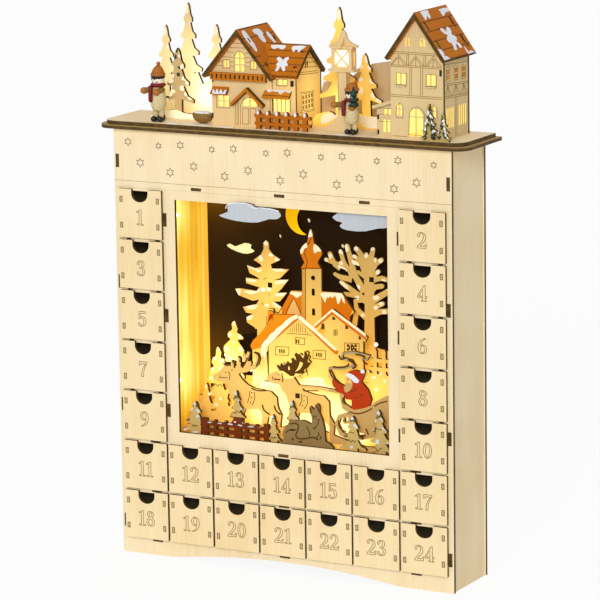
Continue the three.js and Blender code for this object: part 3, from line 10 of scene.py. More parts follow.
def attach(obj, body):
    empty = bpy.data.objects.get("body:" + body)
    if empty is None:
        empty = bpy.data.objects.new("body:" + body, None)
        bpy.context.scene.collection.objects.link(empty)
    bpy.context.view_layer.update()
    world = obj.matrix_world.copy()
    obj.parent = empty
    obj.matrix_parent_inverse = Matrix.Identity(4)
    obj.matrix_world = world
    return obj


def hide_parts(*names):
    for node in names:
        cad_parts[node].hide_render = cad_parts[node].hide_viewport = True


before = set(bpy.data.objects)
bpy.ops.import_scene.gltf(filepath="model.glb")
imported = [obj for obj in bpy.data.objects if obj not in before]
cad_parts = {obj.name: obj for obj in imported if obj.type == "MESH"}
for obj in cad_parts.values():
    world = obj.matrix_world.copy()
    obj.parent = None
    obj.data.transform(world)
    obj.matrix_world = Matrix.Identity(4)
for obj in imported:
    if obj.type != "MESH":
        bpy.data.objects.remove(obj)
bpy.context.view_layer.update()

# Wooden advent calendar. Sizes are in millimetres here and become metres in the meshes.
mm = 0.001
faceY = -29.0          # front face of the cabinet
plateTop = 365.1       # top of the village plate
corniceTop = 362.05    # top of the plate under it


# The linear colour of an sRGB one written as hex
def linear(hexText):
    values = [int(hexText[i:i + 2], 16) / 255 for i in (1, 3, 5)]
    return tuple(v / 12.92 if v <= 0.04045 else ((v + 0.055) / 1.055) ** 2.4 for v in values) + (1.0,)


# The same colour darker or lighter
def shade(hexText, share):
    values = [int(hexText[i:i + 2], 16) for i in (1, 3, 5)]
    return "#" + "".join(f"{min(255, round(value * share)):02x}" for value in values)


# Nodes and materials

# Adds a node. Lower-case keys are its settings, the others its inputs: a value, a socket or a whole node.
def addNode(tree, kind, values=None):
    node = tree.nodes.new(kind)
    for key, value in (values or {}).items():
        if isinstance(value, bpy.types.Node):
            value = value.outputs[0]
        if key == "stops":
            elements = node.color_ramp.elements
            while len(elements) < len(value):
                elements.new(0.5)
            for element, (position, color) in zip(elements, value):
                element.position = position
                element.color = linear(color)
        elif isinstance(key, str) and key[0].islower():
            setattr(node, key, value)
        elif isinstance(value, bpy.types.NodeSocket):
            tree.links.new(value, node.inputs[key])
        else:
            node.inputs[key].default_value = value
    return node


def newMaterial(name, color="#ffffff", rough=0.6, gloss=0.3):
    material = bpy.data.materials.new(name)
    material.use_nodes = True
    tree = material.node_tree
    shader = tree.nodes["Principled BSDF"]
    shader.inputs["Base Color"].default_value = linear(color)
    shader.inputs["Roughness"].default_value = rough
    shader.inputs["Specular IOR Level"].default_value = gloss
    return material, tree, shader


def coordinates(tree):
    place = addNode(tree, "ShaderNodeTexCoord")
    return place, addNode(tree, "ShaderNodeSeparateXYZ", {0: place.outputs["Object"]})


# 1 inside a box given as x, x, depth, depth, z, z in millimetres
def insideBox(tree, parts, box):
    inside = None
    for axis in range(3):
        start = faceY if axis == 1 else 0
        for limit, test in zip(box[2 * axis:2 * axis + 2], ("GREATER_THAN", "LESS_THAN")):
            share = addNode(tree, "ShaderNodeMath", {
                "operation": test, 0: parts.outputs[axis], 1: (start + limit) * mm})
            inside = share if inside is None else addNode(tree, "ShaderNodeMath", {
                "operation": "MULTIPLY", 0: inside, 1: share})
    return inside


# How strongly the warm lamps near a point light it: one falloff for each lamp, added up.
def glowField(tree, place, lamps):
    total = None
    for x, depth, z, reach, power in lamps:
        away = addNode(tree, "ShaderNodeVectorMath", {
            "operation": "DISTANCE", 0: place.outputs["Object"], 1: (x * mm, (faceY + depth) * mm, z * mm)})
        falloff = away.outputs["Value"]
        for operation, value in (("DIVIDE", reach * mm), ("POWER", 2.0), ("ADD", 1.0)):
            falloff = addNode(tree, "ShaderNodeMath", {"operation": operation, 0: falloff, 1: value})
        share = addNode(tree, "ShaderNodeMath", {"operation": "DIVIDE", 0: power, 1: falloff})
        total = share if total is None else addNode(tree, "ShaderNodeMath", {
            "operation": "ADD", 0: total, 1: share})
    return total


glowStops = [(0.0, "#3a2000"), (0.2, "#b8720a"), (0.45, "#f2b32a"), (0.75, "#ffd75a"), (1.0, "#fff0a8")]


# Light that the wood sends back from the lamps, kept to one box and off the cut edges
def addGlow(tree, shader, place, parts, look, mask):
    total = addNode(tree, "ShaderNodeMath", {
        "operation": "MULTIPLY", 0: glowField(tree, place, look["lamps"]), 1: look.get("glow", 1.0)})
    factors = []
    if "rays" in look:        # long upright streaks where the light rakes along the grain
        tall = addNode(tree, "ShaderNodeMapping", {0: place.outputs["Object"], 3: (1, 1, 0.05)})
        streak = addNode(tree, "ShaderNodeTexNoise", {0: tall, "Scale": 1 / (6 * mm), "Detail": 2.0})
        factors.append(addNode(tree, "ShaderNodeMapRange", {
            0: streak, 1: 0.3, 2: 0.7, 3: 1 - look["rays"], 4: 1 + look["rays"]}))
    if "only" in look:
        factors.append(insideBox(tree, parts, look["only"]))
    if mask is not None:
        factors.append(addNode(tree, "ShaderNodeMath", {"operation": "SUBTRACT", 0: 1.0, 1: mask}))
    for factor in factors:
        total = addNode(tree, "ShaderNodeMath", {"operation": "MULTIPLY", 0: total, 1: factor})
    for box in look.get("rooms", []):     # window reveals glow as well
        total = addNode(tree, "ShaderNodeMath", {
            "operation": "MULTIPLY_ADD", 0: insideBox(tree, parts, box), 1: look["roomGlow"], 2: total})
    color = addNode(tree, "ShaderNodeValToRGB", {0: total, "stops": look.get("stops", glowStops)}).outputs[0]
    if "tint" in look:
        tinted = addNode(tree, "ShaderNodeMix", {
            "data_type": "RGBA", "blend_type": "MULTIPLY", 0: 1.0, 6: color, 7: linear(look["tint"])})
        color = tinted.outputs[2]
    tree.links.new(color, shader.inputs["Emission Color"])
    tree.links.new(total.outputs[0], shader.inputs["Emission Strength"])


# Where a piece shows its cut edge: away from its two faces, which look front, sideways or up.
def edgeMask(tree, place, parts, look):
    kind = look.get("normal", "y")
    if kind == "none":
        return None
    direction = addNode(tree, "ShaderNodeSeparateXYZ", {0: place.outputs["Normal"]})
    flat = [addNode(tree, "ShaderNodeMath", {"operation": "ABSOLUTE", 0: part}) for part in direction.outputs]
    if kind == "roof":        # the boards' ends look front or sideways, the eaves downwards
        aside = addNode(tree, "ShaderNodeMath", {"operation": "MAXIMUM", 0: flat[0], 1: flat[1]})
        ends = addNode(tree, "ShaderNodeMath", {"operation": "GREATER_THAN", 0: aside, 1: 0.9})
        eaves = addNode(tree, "ShaderNodeMath", {"operation": "LESS_THAN", 0: direction.outputs[2], 1: -0.72})
        return addNode(tree, "ShaderNodeMath", {"operation": "MAXIMUM", 0: ends, 1: eaves})
    if kind == "walls":       # cut edges lie within the thickness of a house's four walls
        left, right, front, back = look["walls"]
        far = 999
        mask = None
        for axis, limit, box in (
                (1, 0.6, (-far, far, front + 0.05, front + 2.85, -far, far)),
                (1, 0.6, (-far, far, back - 2.85, back - 0.05, -far, far)),
                (0, 0.6, (right - 2.85, right - 0.05, front + 3, back - 3, -far, far)),
                (0, 0.6, (left + 0.05, left + 2.85, front + 3, back - 3, -far, far)),
                (1, 0.35, (-far, far, -far, front - 0.05, -far, far))):
            turned = addNode(tree, "ShaderNodeMath", {"operation": "LESS_THAN", 0: flat[axis], 1: limit})
            share = addNode(tree, "ShaderNodeMath", {
                "operation": "MULTIPLY", 0: turned, 1: insideBox(tree, parts, box)})
            mask = share if mask is None else addNode(tree, "ShaderNodeMath", {
                "operation": "MAXIMUM", 0: mask, 1: share})
        return mask
    mask = addNode(tree, "ShaderNodeMath", {"operation": "LESS_THAN", 0: flat["xyz".index(kind)], 1: 0.6})
    if "edgeFront" in look:       # only the front board of a piece is scorched
        near = addNode(tree, "ShaderNodeMath", {
            "operation": "LESS_THAN", 0: parts.outputs[1], 1: (faceY + look["edgeFront"]) * mm})
        mask = addNode(tree, "ShaderNodeMath", {"operation": "MULTIPLY", 0: mask, 1: near})
    return mask


# Laser-cut birch plywood: a pale close veneer with fine straight grain, and scorched brown cut edges.
def plywood(name, look):
    material, tree, shader = newMaterial(name, rough=look.get("rough", 0.62), gloss=look.get("gloss", 0.3))
    place, parts = coordinates(tree)
    spot = place.outputs["Object"]
    stretch = {"z": (1, 1, 0.035), "x": (0.035, 1, 1), "y": (1, 0.035, 1)}[look.get("grain", "z")]
    along = addNode(tree, "ShaderNodeMapping", {0: spot, 3: stretch})
    fibre = addNode(tree, "ShaderNodeTexNoise", {
        0: along, "Scale": 1 / (look.get("fibre", 1.1) * mm), "Detail": 3.0, "Roughness": 0.6})
    growth = addNode(tree, "ShaderNodeTexNoise", {
        0: along, "Scale": 1 / (14 * mm), "Detail": 2.0, "Distortion": 0.6})
    fleck = addNode(tree, "ShaderNodeTexNoise", {0: spot, "Scale": 1 / (60 * mm), "Detail": 1.0})
    layers = []               # what covers the veneer's own colour, each with its share
    for noise, low, high, most, tone in (
            (fibre, 0.42, 0.72, look.get("contrast", 0.5), "streak"),
            (growth, 0.45, 0.7, look.get("growth", 0.5), "growthColor"),
            (fleck, 0.35, 0.65, 0.4, "pale")):
        share = addNode(tree, "ShaderNodeMapRange", {0: noise, 1: low, 2: high, 3: 0.0, 4: most})
        layers.append((share, linear(look[tone])))
    if "ahead" in look:       # stained pieces that stand out from the wall
        depth, stain = look["ahead"]
        near = addNode(tree, "ShaderNodeMath", {
            "operation": "LESS_THAN", 0: parts.outputs[1], 1: (faceY + depth) * mm})
        layers.append((near, linear(stain)))
    mask = edgeMask(tree, place, parts, look)
    if mask is not None:
        char = addNode(tree, "ShaderNodeTexNoise", {0: spot, "Scale": 1 / (5 * mm), "Detail": 3.0})
        charShare = addNode(tree, "ShaderNodeMapRange", {0: char, 1: 0.35, 2: 0.65})
        edge = addNode(tree, "ShaderNodeMix", {
            "data_type": "RGBA", 0: charShare, 6: linear(look["edge"]), 7: linear(look["edgeDark"])})
        layers.append((mask, edge.outputs[2]))
    if "dark" in look:        # painted light and shade: one flat colour in a box, dark where shade falls, gold where the lamps shine
        box, paintedTone = look["dark"]
        layers.append((insideBox(tree, parts, box), linear(paintedTone)))
    color = linear(look["face"])
    for share, tone in layers:
        color = addNode(tree, "ShaderNodeMix", {"data_type": "RGBA", 0: share, 6: color, 7: tone}).outputs[2]
    tree.links.new(color, shader.inputs["Base Color"])
    bump = addNode(tree, "ShaderNodeBump", {"Strength": 0.25, "Distance": 0.05 * mm, "Height": fibre})
    tree.links.new(bump.outputs[0], shader.inputs["Normal"])
    if "lamps" in look:
        addGlow(tree, shader, place, parts, look, mask)
    return material


# Brushed acrylic paint on wood: one colour, with faint strokes and a satin skin.
def paint(name, color, look=None):
    look = look or {}
    material, tree, shader = newMaterial(name, color, look.get("rough", 0.5))
    place, parts = coordinates(tree)
    cloud = addNode(tree, "ShaderNodeTexNoise", {
        0: place.outputs["Object"], "Scale": 1 / (look.get("size", 3) * mm), "Detail": 3.0})
    share = addNode(tree, "ShaderNodeMapRange", {0: cloud, 1: 0.35, 2: 0.65})
    mixed = addNode(tree, "ShaderNodeMix", {
        "data_type": "RGBA", 0: share, 6: linear(shade(color, look.get("deep", 0.86))), 7: linear(color)})
    tree.links.new(mixed.outputs[2], shader.inputs["Base Color"])
    bump = addNode(tree, "ShaderNodeBump", {
        "Strength": look.get("bump", 0.3), "Distance": 0.1 * mm, "Height": cloud})
    tree.links.new(bump.outputs[0], shader.inputs["Normal"])
    if "lamps" in look:
        addGlow(tree, shader, place, parts, look, None)
    return material


# Raw birch: the veneer's tones and those of its burnt edge
birch = {
    "face": "#f2ddb4", "streak": "#e0c492", "growthColor": "#e7ce9c", "pale": "#f7e7c5",
    "edge": "#60471b", "edgeDark": "#433110",
}


def birchLook(**changes):
    return {**birch, **changes}


# Plywood stained in another colour
def stained(color, **changes):
    tones = {"face": color, "streak": shade(color, 0.88), "growthColor": shade(color, 0.94),
             "pale": shade(color, 1.06)}
    return {**birch, **tones, "gloss": 0.12, **changes}


# Warm lamps whose light is painted on as a glow: x, depth behind the front face, height, reach and power
sceneLamps = [
    (-105, 11, 290, 18, 1.0), (-105, 12, 200, 20, 0.5), (-105, 13, 152, 28, 1.1), (-105, 34, 222, 44, 0.5),
    (-105, 42, 140, 30, 0.3), (-105, 44, 286, 30, 0.4),
]
layerLamps = [
    (-34, 34, 232, 24, 0.48), (0, 27, 175, 30, 0.28), (35, 30, 200, 26, 0.14), (-70, 30, 165, 22, 0.5),
    (-46, 24, 150, 16, 0.4), (77, 30, 155, 20, 0.4), (22, 24, 124, 22, 0.75), (-26, 24, 126, 24, 0.8),
    (52, 22, 118, 18, 0.9),
]
villageLamps = [
    (-95, 44, 380, 20, 2.4), (-84, 44, 400, 14, 0.8), (36, 36, 388, 11, 0.8), (76, 40, 384, 11, 0.6),
    (14, 42, 376, 10, 0.6), (50.8, 18, 425, 8, 0.9), (36, 40, 446, 16, 0.5), (55, 36, 376, 12, 0.3),
]
backLamps = [
    (-124, 58, 412, 46, 0.36), (-90, 58, 402, 40, 0.42), (-97, 50, 378, 18, 0.9), (40, 50, 385, 16, 0.2),
]
chaletLamps = villageLamps + [(13, 34, 396, 26, 1.9)]

# Boxes as x, x, depth, depth, z, z: what lies inside the window, behind its sky and in the lit rooms
sceneRoom = (-105.8, 105.8, 3.4, 57, 99, 311)
backSlit = (-106, -97, 57, 61.5, 99, 311)
chaletBox = {"walls": (-66, 10.5, 10, 56), "rooms": [
    (-65.8, -10.6, 10.25, 55.8, 364, 450), (-10.6, 10.3, 11.25, 54.7, 364, 450)]}
townBox = {"walls": (99.6, 145.6, 3.5, 50.5), "rooms": [
    (102.3, 142.9, 6.3, 47.7, 364, 470), (99.8, 145.35, 3.75, 6.3, 364, 430), (108, 137, 3.75, 6.3, 436, 450),
    (142.9, 145.35, 6.3, 50.3, 364, 428)]}
shedBox = {"walls": (84.4, 99.4, 9, 32), "rooms": [(84.6, 99.4, 9.25, 31.8, 364, 395)]}
villageFace = stained("#d9bf8c", lamps=villageLamps, glow=0.3, normal="walls", roomGlow=1.0, stops=[
    (0.0, "#3a2000"), (0.2, "#b8720a"), (0.45, "#f0b028"), (0.8, "#ffd45a"), (1.0, "#ffdf7c")])

materials = {
    # pale close veneer with fine upright grain, its cut edges burnt dark brown
    "front": plywood("birchPlywoodFront", birchLook()),
    # the same veneer a touch yellower; the box behind its front is painted grey-brown as shade, which shows in
    # the gap round each drawer
    "drawer": plywood("birchPlywoodDrawer", birchLook(
        edgeFront=-0.35, face="#f0d8a8", streak="#ddbf88", growthColor="#e5c992", pale="#f5e2ba",
        dark=((-160, 160, 0.4, 60, 0, 320), "#a08f6c"))),
    # upright grain on boards that face sideways
    "side": plywood("birchPlywoodSide", birchLook(normal="x")),
    # the walls inside the window, with the lamps' light painted on: a gold colour and streaks of glow where the
    # lamps rake them
    "rack": plywood("birchPlywoodRack", birchLook(
        normal="x", lamps=sceneLamps, glow=0.9, only=sceneRoom[:3] + (60.5, 99, 311), rays=0.2,
        dark=(sceneRoom, "#d39a2c"),
        stops=[(0.0, "#3a2000"), (0.2, "#b87408"), (0.45, "#f0b020"), (0.75, "#ffd040"), (1.0, "#ffe67a")])),
    # a plain back board, with the lamps' light painted on in gold only in the slit beside the sky
    "back": plywood("birchPlywoodBack", birchLook(
        lamps=[(-102, 60, 290, 40, 0.5), (-102, 60, 160, 60, 0.6)], glow=1.0, only=backSlit,
        dark=(backSlit, "#d39a2c"))),
    "grid": plywood("birchPlywoodGrid", birchLook(normal="x")),
    # a plate with its grain running across, shaded where it overhangs the fascia
    "cornice": plywood("birchPlywoodCornice", birchLook(
        normal="z", grain="x", dark=((-170, 170, -8, 80, 361.6, 363), "#a5854a"))),
    # flat boards with their grain across, with the lamps' light painted on as a glow inside the window
    "shelf": plywood("birchPlywoodShelf", birchLook(
        normal="z", grain="x", lamps=sceneLamps + layerLamps, glow=1.0, only=sceneRoom)),
    # almost black stain that turns amber beside a lamp
    "sky": plywood("blackStainedPlywood", stained(
        "#1b1004", edge="#1b1005", edgeDark="#120a03", only=sceneRoom, gloss=0.08, glow=1.0, stops=[
            (0.0, "#2a1600"), (0.1, "#7a4a08"), (0.3, "#c07a10"), (1.0, "#ffd75a")],
        lamps=[(-92, 55, 304, 24, 0.3), (-96, 55, 165, 34, 0.22), (-38, 55, 303, 20, 0.16),
               (50, 56, 262, 26, 0.06)])),
    # honey-brown veneer with golden pools round the lamps, dimmer from layer to layer
    "lit": plywood("backlitPlywood", stained("#cfac60", lamps=layerLamps, only=sceneRoom, glow=1.0)),
    "sleigh": plywood("engravedPlywoodLayer", stained("#dcb76c", lamps=layerLamps, only=sceneRoom, glow=0.4)),
    "foreground": plywood("shadedPlywoodLayer", stained("#c8aa66", lamps=layerLamps, only=sceneRoom, glow=0.1)),
    # flat orange stain under the snow, and the same a little deeper on the pickets
    "roof": plywood("orangeStainedRoof", stained("#bd6c0e", normal="roof", grain="y")),
    "picket": plywood("orangeStainedPicket", stained("#b5620f")),
    # flat cool grey
    "cloud": plywood("greyPaintedPlywood", stained("#bdc3c9")),
    # dull taupe that goes pale yellow where the lamps behind the houses shine on it
    "taupe": plywood("taupeStainedPlywood", stained("#c4ac86", lamps=backLamps, glow=0.8, stops=[
        (0.0, "#5a4a18"), (0.2, "#c8a840"), (0.5, "#ffe890"), (0.8, "#fff4b8"), (1.0, "#fffce0")])),
    # darker veneer with the lamps' light painted on as glow, the rooms bright yellow through the windows; the
    # porches are orange
    "chalet": plywood("chaletPlywood", {
        **villageFace, **chaletBox, "ahead": (9.9, "#b0620f"), "lamps": chaletLamps}),
    "town": plywood("townhousePlywood", {**villageFace, **townBox}),
    "shed": plywood("shedPlywood", {**villageFace, **shedBox, "glow": 0.15}),
    # warm veneer with the lamps' light painted on as a golden glow near the lantern
    "lamp": plywood("streetLampPlywood", stained("#dcc391", normal="none", lamps=villageLamps, glow=0.35)),
    "villageFlat": plywood("villagePlatePlywood", birchLook(
        normal="z", grain="x", lamps=villageLamps, glow=0.22)),
    "paintedFir": plywood("paintedFirPlywood", stained("#cfb27c", lamps=villageLamps, glow=0.1)),
    "litVillage": plywood("backlitVillagePlywood", stained("#e6c266", lamps=villageLamps, glow=0.75)),
    # brown-green veneer without light on it
    "green": plywood("frontFirPlywood", stained("#b09a5c")),
    # satin brown wood with wide, nearly black stripes
    "sled": plywood("darkGrainedWood", stained(
        "#8a6a38", normal="none", grain="x", streak="#3a240a", contrast=0.95, fibre=2.4, rough=0.4)),
    # off-white moulded plastic
    "pack": paint("whitePowerPackPlastic", "#e9e9e6", {"deep": 0.97, "bump": 0.05}),
}


# Which nodes of the frame each material covers
dressed = {
    "drawer": [f"drawer_{number:02d}" for number in range(1, 25)],
    "front": ["front_panel", "star_fascia"], "back": ["back_panel"],
    "side": ["side_panel_left", "side_panel_right"], "rack": ["drawer_rack_left", "drawer_rack_right"],
    "grid": ["drawer_grid"], "shelf": ["scene_floor", "top_shelf"], "sky": ["sky_panel"],
    "cloud": ["cloud_valance"], "lit": ["back_trees", "church_layer", "cottage_layer"],
    "sleigh": ["sleigh_layer"], "foreground": ["foreground_layer"], "chalet": ["chalet_walls"],
    "town": ["townhouse_walls"], "shed": ["lean_to_shed"], "lamp": ["street_lamp"],
    "paintedFir": ["painted_fir"], "roof": ["chalet_roof", "townhouse_roof"], "picket": ["picket_fence"],
    "taupe": ["rear_silhouette"], "litVillage": ["lamp_firs"], "green": ["front_firs"],
    "cornice": ["cornice_plate"], "villageFlat": ["village_plate"], "sled": ["sled"],
    "pack": ["battery_box", "battery_cover", "switch_slider"],
}
for material, names in dressed.items():
    for name in names:
        node = bpy.data.objects[name]
        node.data.materials.clear()
        node.data.materials.append(materials[material])
print("materials on the frame's nodes")


# Drawn marks: flat strokes and fills, each with its place on a face of the part

# Each gives the place of a point on a face: one that looks front, right or up.
def onFront(depth):
    return lambda x, z, lift=0.0: Vector((x, faceY + depth - lift, z)) * mm


def onRight(side):
    return lambda depth, z, lift=0.0: Vector((side + lift, faceY + depth, z)) * mm


def onTop(height):
    return lambda x, depth, lift=0.0: Vector((x, faceY + depth, height + lift)) * mm


# A face at any slope: two measures from a start point along two directions, all in x, depth, z.
def onPlane(start, across, along):
    start = Vector(start)
    across, along = Vector(across).normalized(), Vector(along).normalized()
    outward = across.cross(along).normalized()
    if outward.z < 0:
        outward = -outward

    def place(first, second, lift=0.0):
        spot = start + across * first + along * second + outward * lift
        return Vector((spot.x, faceY + spot.y, spot.z)) * mm
    return place


# A smooth line through knots; a knot with a third value is a sharp corner.
def smooth(knots, closed=False, steps=5):
    count = len(knots)
    spans = count if closed else count - 1
    points = []
    for i in range(spans):
        first, second = Vector(knots[i][:2]), Vector(knots[(i + 1) % count][:2])
        before = Vector(knots[(i - 1) % count][:2]) if closed or i > 0 else first
        after = Vector(knots[(i + 2) % count][:2]) if closed or i + 2 < count else second
        startTurn = Vector((0, 0)) if len(knots[i]) > 2 else (second - before) / 2
        endTurn = Vector((0, 0)) if len(knots[(i + 1) % count]) > 2 else (after - first) / 2
        straight = len(knots[i]) > 2 and len(knots[(i + 1) % count]) > 2
        pieces = 1 if straight else steps
        for k in range(pieces):
            t = k / pieces
            points.append(tuple(
                first * (2 * t ** 3 - 3 * t ** 2 + 1) + startTurn * (t ** 3 - 2 * t ** 2 + t)
                + second * (3 * t ** 2 - 2 * t ** 3) + endTurn * (t ** 3 - t ** 2)))
    if not closed:
        points.append(tuple(knots[-1][:2]))
    return points


# Marks are gathered as loose faces, each with the slot of its material; lift is how far they stand off.
def newMarks(lift=0.08):
    return {"lift": lift, "points": [], "faces": [], "slots": []}


def addFace(marks, corners, slot, place):
    outward = place(*corners[0], 1.0) - place(*corners[0], 0.0)
    spots = [place(*corner, marks["lift"]) for corner in corners]
    normal = (spots[1] - spots[0]).cross(spots[2] - spots[0])
    if normal.dot(outward) < 0:
        spots.reverse()
    start = len(marks["points"])
    marks["points"] += spots
    marks["faces"].append(list(range(start, start + len(spots))))
    marks["slots"].append(slot)


# A line of one width, mitred at its bends
def stroke(marks, path, width, place, slot=0, closed=False):
    points = [Vector(p[:2]) for p in path]
    count = len(points)
    sides = []
    for i, point in enumerate(points):
        before = points[(i - 1) % count] if closed or i > 0 else point
        after = points[(i + 1) % count] if closed or i + 1 < count else point
        one = (point - before).normalized() if (point - before).length > 1e-6 else Vector((0, 0))
        two = (after - point).normalized() if (after - point).length > 1e-6 else Vector((0, 0))
        along = (one + two).normalized() if (one + two).length > 1e-6 else (two or one)
        across = Vector((-along.y, along.x))
        reference = two if two.length > 0 else one
        stretch = 1 / max(0.5, abs(along.dot(reference)))
        half = width / 2 * stretch
        sides.append((point + across * half, point - across * half))
    for i in range(count if closed else count - 1):
        a, b = sides[i], sides[(i + 1) % count]
        addFace(marks, [a[0], a[1], b[1], b[0]], slot, place)


# A filled outline
def fill(marks, outline, place, slot=0):
    flat = [Vector((p[0], p[1], 0)) for p in outline]
    for triangle in tessellate_polygon([flat]):
        addFace(marks, [tuple(flat[i][:2]) for i in triangle], slot, place)


# The corners of an upright rectangle
def box2(x0, x1, z0, z1):
    return [(x0, z0), (x1, z0), (x1, z1), (x0, z1)]


# An object in the scene that rides on nothing yet
def plainObject(name, mesh):
    piece = bpy.data.objects.new(name, mesh)
    bpy.context.scene.collection.objects.link(piece)
    return piece


# An object from a shape that was built face by face
def shapedObject(name, shape, looks):
    mesh = bpy.data.meshes.new(name)
    shape.to_mesh(mesh)
    shape.free()
    for look in looks:
        mesh.materials.append(look)
    return plainObject(name, mesh)


# Turns the marks into one thin solid on its body.
def makeMarks(name, marks, looks, body="cabinet", thick=0.12):
    mesh = bpy.data.meshes.new(name)
    mesh.from_pydata([tuple(p) for p in marks["points"]], [], marks["faces"])
    for look in looks:
        mesh.materials.append(look)
    for polygon, slot in zip(mesh.polygons, marks["slots"]):
        polygon.material_index = slot
    piece = plainObject(name, mesh)
    shape = bmesh.new()
    shape.from_mesh(mesh)
    bmesh.ops.remove_doubles(shape, verts=shape.verts, dist=0.002 * mm)
    shape.to_mesh(mesh)
    shape.free()
    solid = piece.modifiers.new("thickness", "SOLIDIFY")
    solid.thickness = thick * mm
    solid.offset = -1.0
    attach(piece, body)


# An uneven round patch, such as a dab of snow.
def dab(x, z, across, up, seed, count=14, rough=0.22, turn=0.0):
    chance = random.Random(seed)
    knots = []
    for i in range(count):
        angle = i / count * 2 * math.pi
        reach = 1 + chance.uniform(-rough, rough)
        u, v = math.cos(angle) * across * reach, math.sin(angle) * up * reach
        knots.append((x + u * math.cos(turn) - v * math.sin(turn), z + u * math.sin(turn) + v * math.cos(turn)))
    return smooth(knots, closed=True, steps=3)


# Things that repeat are grown by Geometry Nodes trees, then kept as plain meshes

def newTree(name, sockets):
    tree = bpy.data.node_groups.new(name, "GeometryNodeTree")
    tree.interface.new_socket("Geometry", in_out="OUTPUT", socket_type="NodeSocketGeometry")
    for label, kind in sockets:
        tree.interface.new_socket(label, in_out="INPUT", socket_type="NodeSocket" + kind)
    return tree, tree.nodes.new("NodeGroupInput"), tree.nodes.new("NodeGroupOutput")


# Runs a tree once with its inputs and gives the mesh it makes.
def grow(name, tree, values):
    carrier = plainObject(name, bpy.data.meshes.new(name))
    modifier = carrier.modifiers.new("grow", "NODES")
    modifier.node_group = tree
    for socket in tree.interface.items_tree:
        if socket.in_out == "INPUT" and socket.name in values:
            modifier[socket.identifier] = values[socket.name]
    bpy.context.view_layer.update()
    seen = carrier.evaluated_get(bpy.context.evaluated_depsgraph_get())
    mesh = bpy.data.meshes.new_from_object(seen)
    bpy.data.objects.remove(carrier)
    return mesh


# Lays a grown mesh on a face of the part: its x and y run along the face, its z stands off.
def layOn(mesh, place, first=0.0, second=0.0):
    for vertex in mesh.vertices:
        x, y, z = vertex.co / mm
        vertex.co = place(first + x, second + y, z)
    return mesh


# One piece of several grown meshes
def joinGrown(name, meshes):
    joined = bmesh.new()
    for mesh in meshes:
        joined.from_mesh(mesh)
    bmesh.ops.recalc_face_normals(joined, faces=joined.faces)
    for face in joined.faces:
        face.material_index = 0
    whole = bpy.data.meshes.new(name)
    joined.to_mesh(whole)
    joined.free()
    whole.materials.append(next(look for look in meshes[0].materials if look))
    for mesh in meshes:
        bpy.data.meshes.remove(mesh)
    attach(plainObject(name, whole), "cabinet")


# The end of every tree: instances on points, made real and given their material
def setOut(tree, given, made, placing):
    placed = addNode(tree, "GeometryNodeInstanceOnPoints", placing)
    real = addNode(tree, "GeometryNodeRealizeInstances", {0: placed})
    painted = addNode(tree, "GeometryNodeSetMaterial", {
        "Geometry": real, "Material": given.outputs["Material"]})
    tree.links.new(painted.outputs[0], made.inputs[0])
    return tree


# Rows of round tile ends burnt into a roof, cut off at a slanting left end
def tileTree():
    tree, given, made = newTree("tileRows", [
        ("Columns", "Int"), ("Rows", "Int"), ("Pitch", "Float"), ("Row gap", "Float"), ("Left end", "Float"),
        ("Lean", "Float"), ("Line", "Float"), ("Seed", "Int"), ("Material", "Material")])
    take = given.outputs
    size = {}
    for axis, count, gap in (("X", "Columns", "Pitch"), ("Y", "Rows", "Row gap")):
        steps = addNode(tree, "ShaderNodeMath", {"operation": "SUBTRACT", 0: take[count], 1: 1.0})
        size["Size " + axis] = addNode(tree, "ShaderNodeMath", {
            "operation": "MULTIPLY", 0: steps, 1: take[gap]})
        size["Vertices " + axis] = take[count]
    grid = addNode(tree, "GeometryNodeMeshGrid", size)
    spot = addNode(tree, "ShaderNodeSeparateXYZ", {0: addNode(tree, "GeometryNodeInputPosition")})
    limit = addNode(tree, "ShaderNodeMath", {
        "operation": "MULTIPLY_ADD", 0: take["Lean"], 1: spot.outputs[1], 2: take["Left end"]})
    outside = addNode(tree, "ShaderNodeMath", {"operation": "LESS_THAN", 0: spot.outputs[0], 1: limit})
    kept = addNode(tree, "GeometryNodeDeleteGeometry", {
        "domain": "POINT", "Geometry": grid, "Selection": outside})
    radius = addNode(tree, "ShaderNodeMath", {"operation": "MULTIPLY", 0: take["Pitch"], 1: 0.5})
    arc = addNode(tree, "GeometryNodeCurveArc", {
        "Radius": radius, "Resolution": 6, "Start Angle": 0.0, "Sweep Angle": math.pi})
    half = addNode(tree, "ShaderNodeMath", {"operation": "MULTIPLY", 0: take["Line"], 1: 0.5})
    profile = addNode(tree, "GeometryNodeCurvePrimitiveCircle", {"Radius": half, "Resolution": 4})
    tile = addNode(tree, "GeometryNodeCurveToMesh", {"Curve": arc, "Profile Curve": profile, "Fill Caps": True})
    deep = addNode(tree, "FunctionNodeRandomValue", {
        "data_type": "FLOAT", 2: 0.75, 3: 0.95, "Seed": take["Seed"]})
    flat = addNode(tree, "ShaderNodeCombineXYZ", {0: 1.0, 1: deep.outputs[1], 2: 0.5})
    return setOut(tree, given, made, {"Points": kept, "Instance": tile, "Scale": flat})


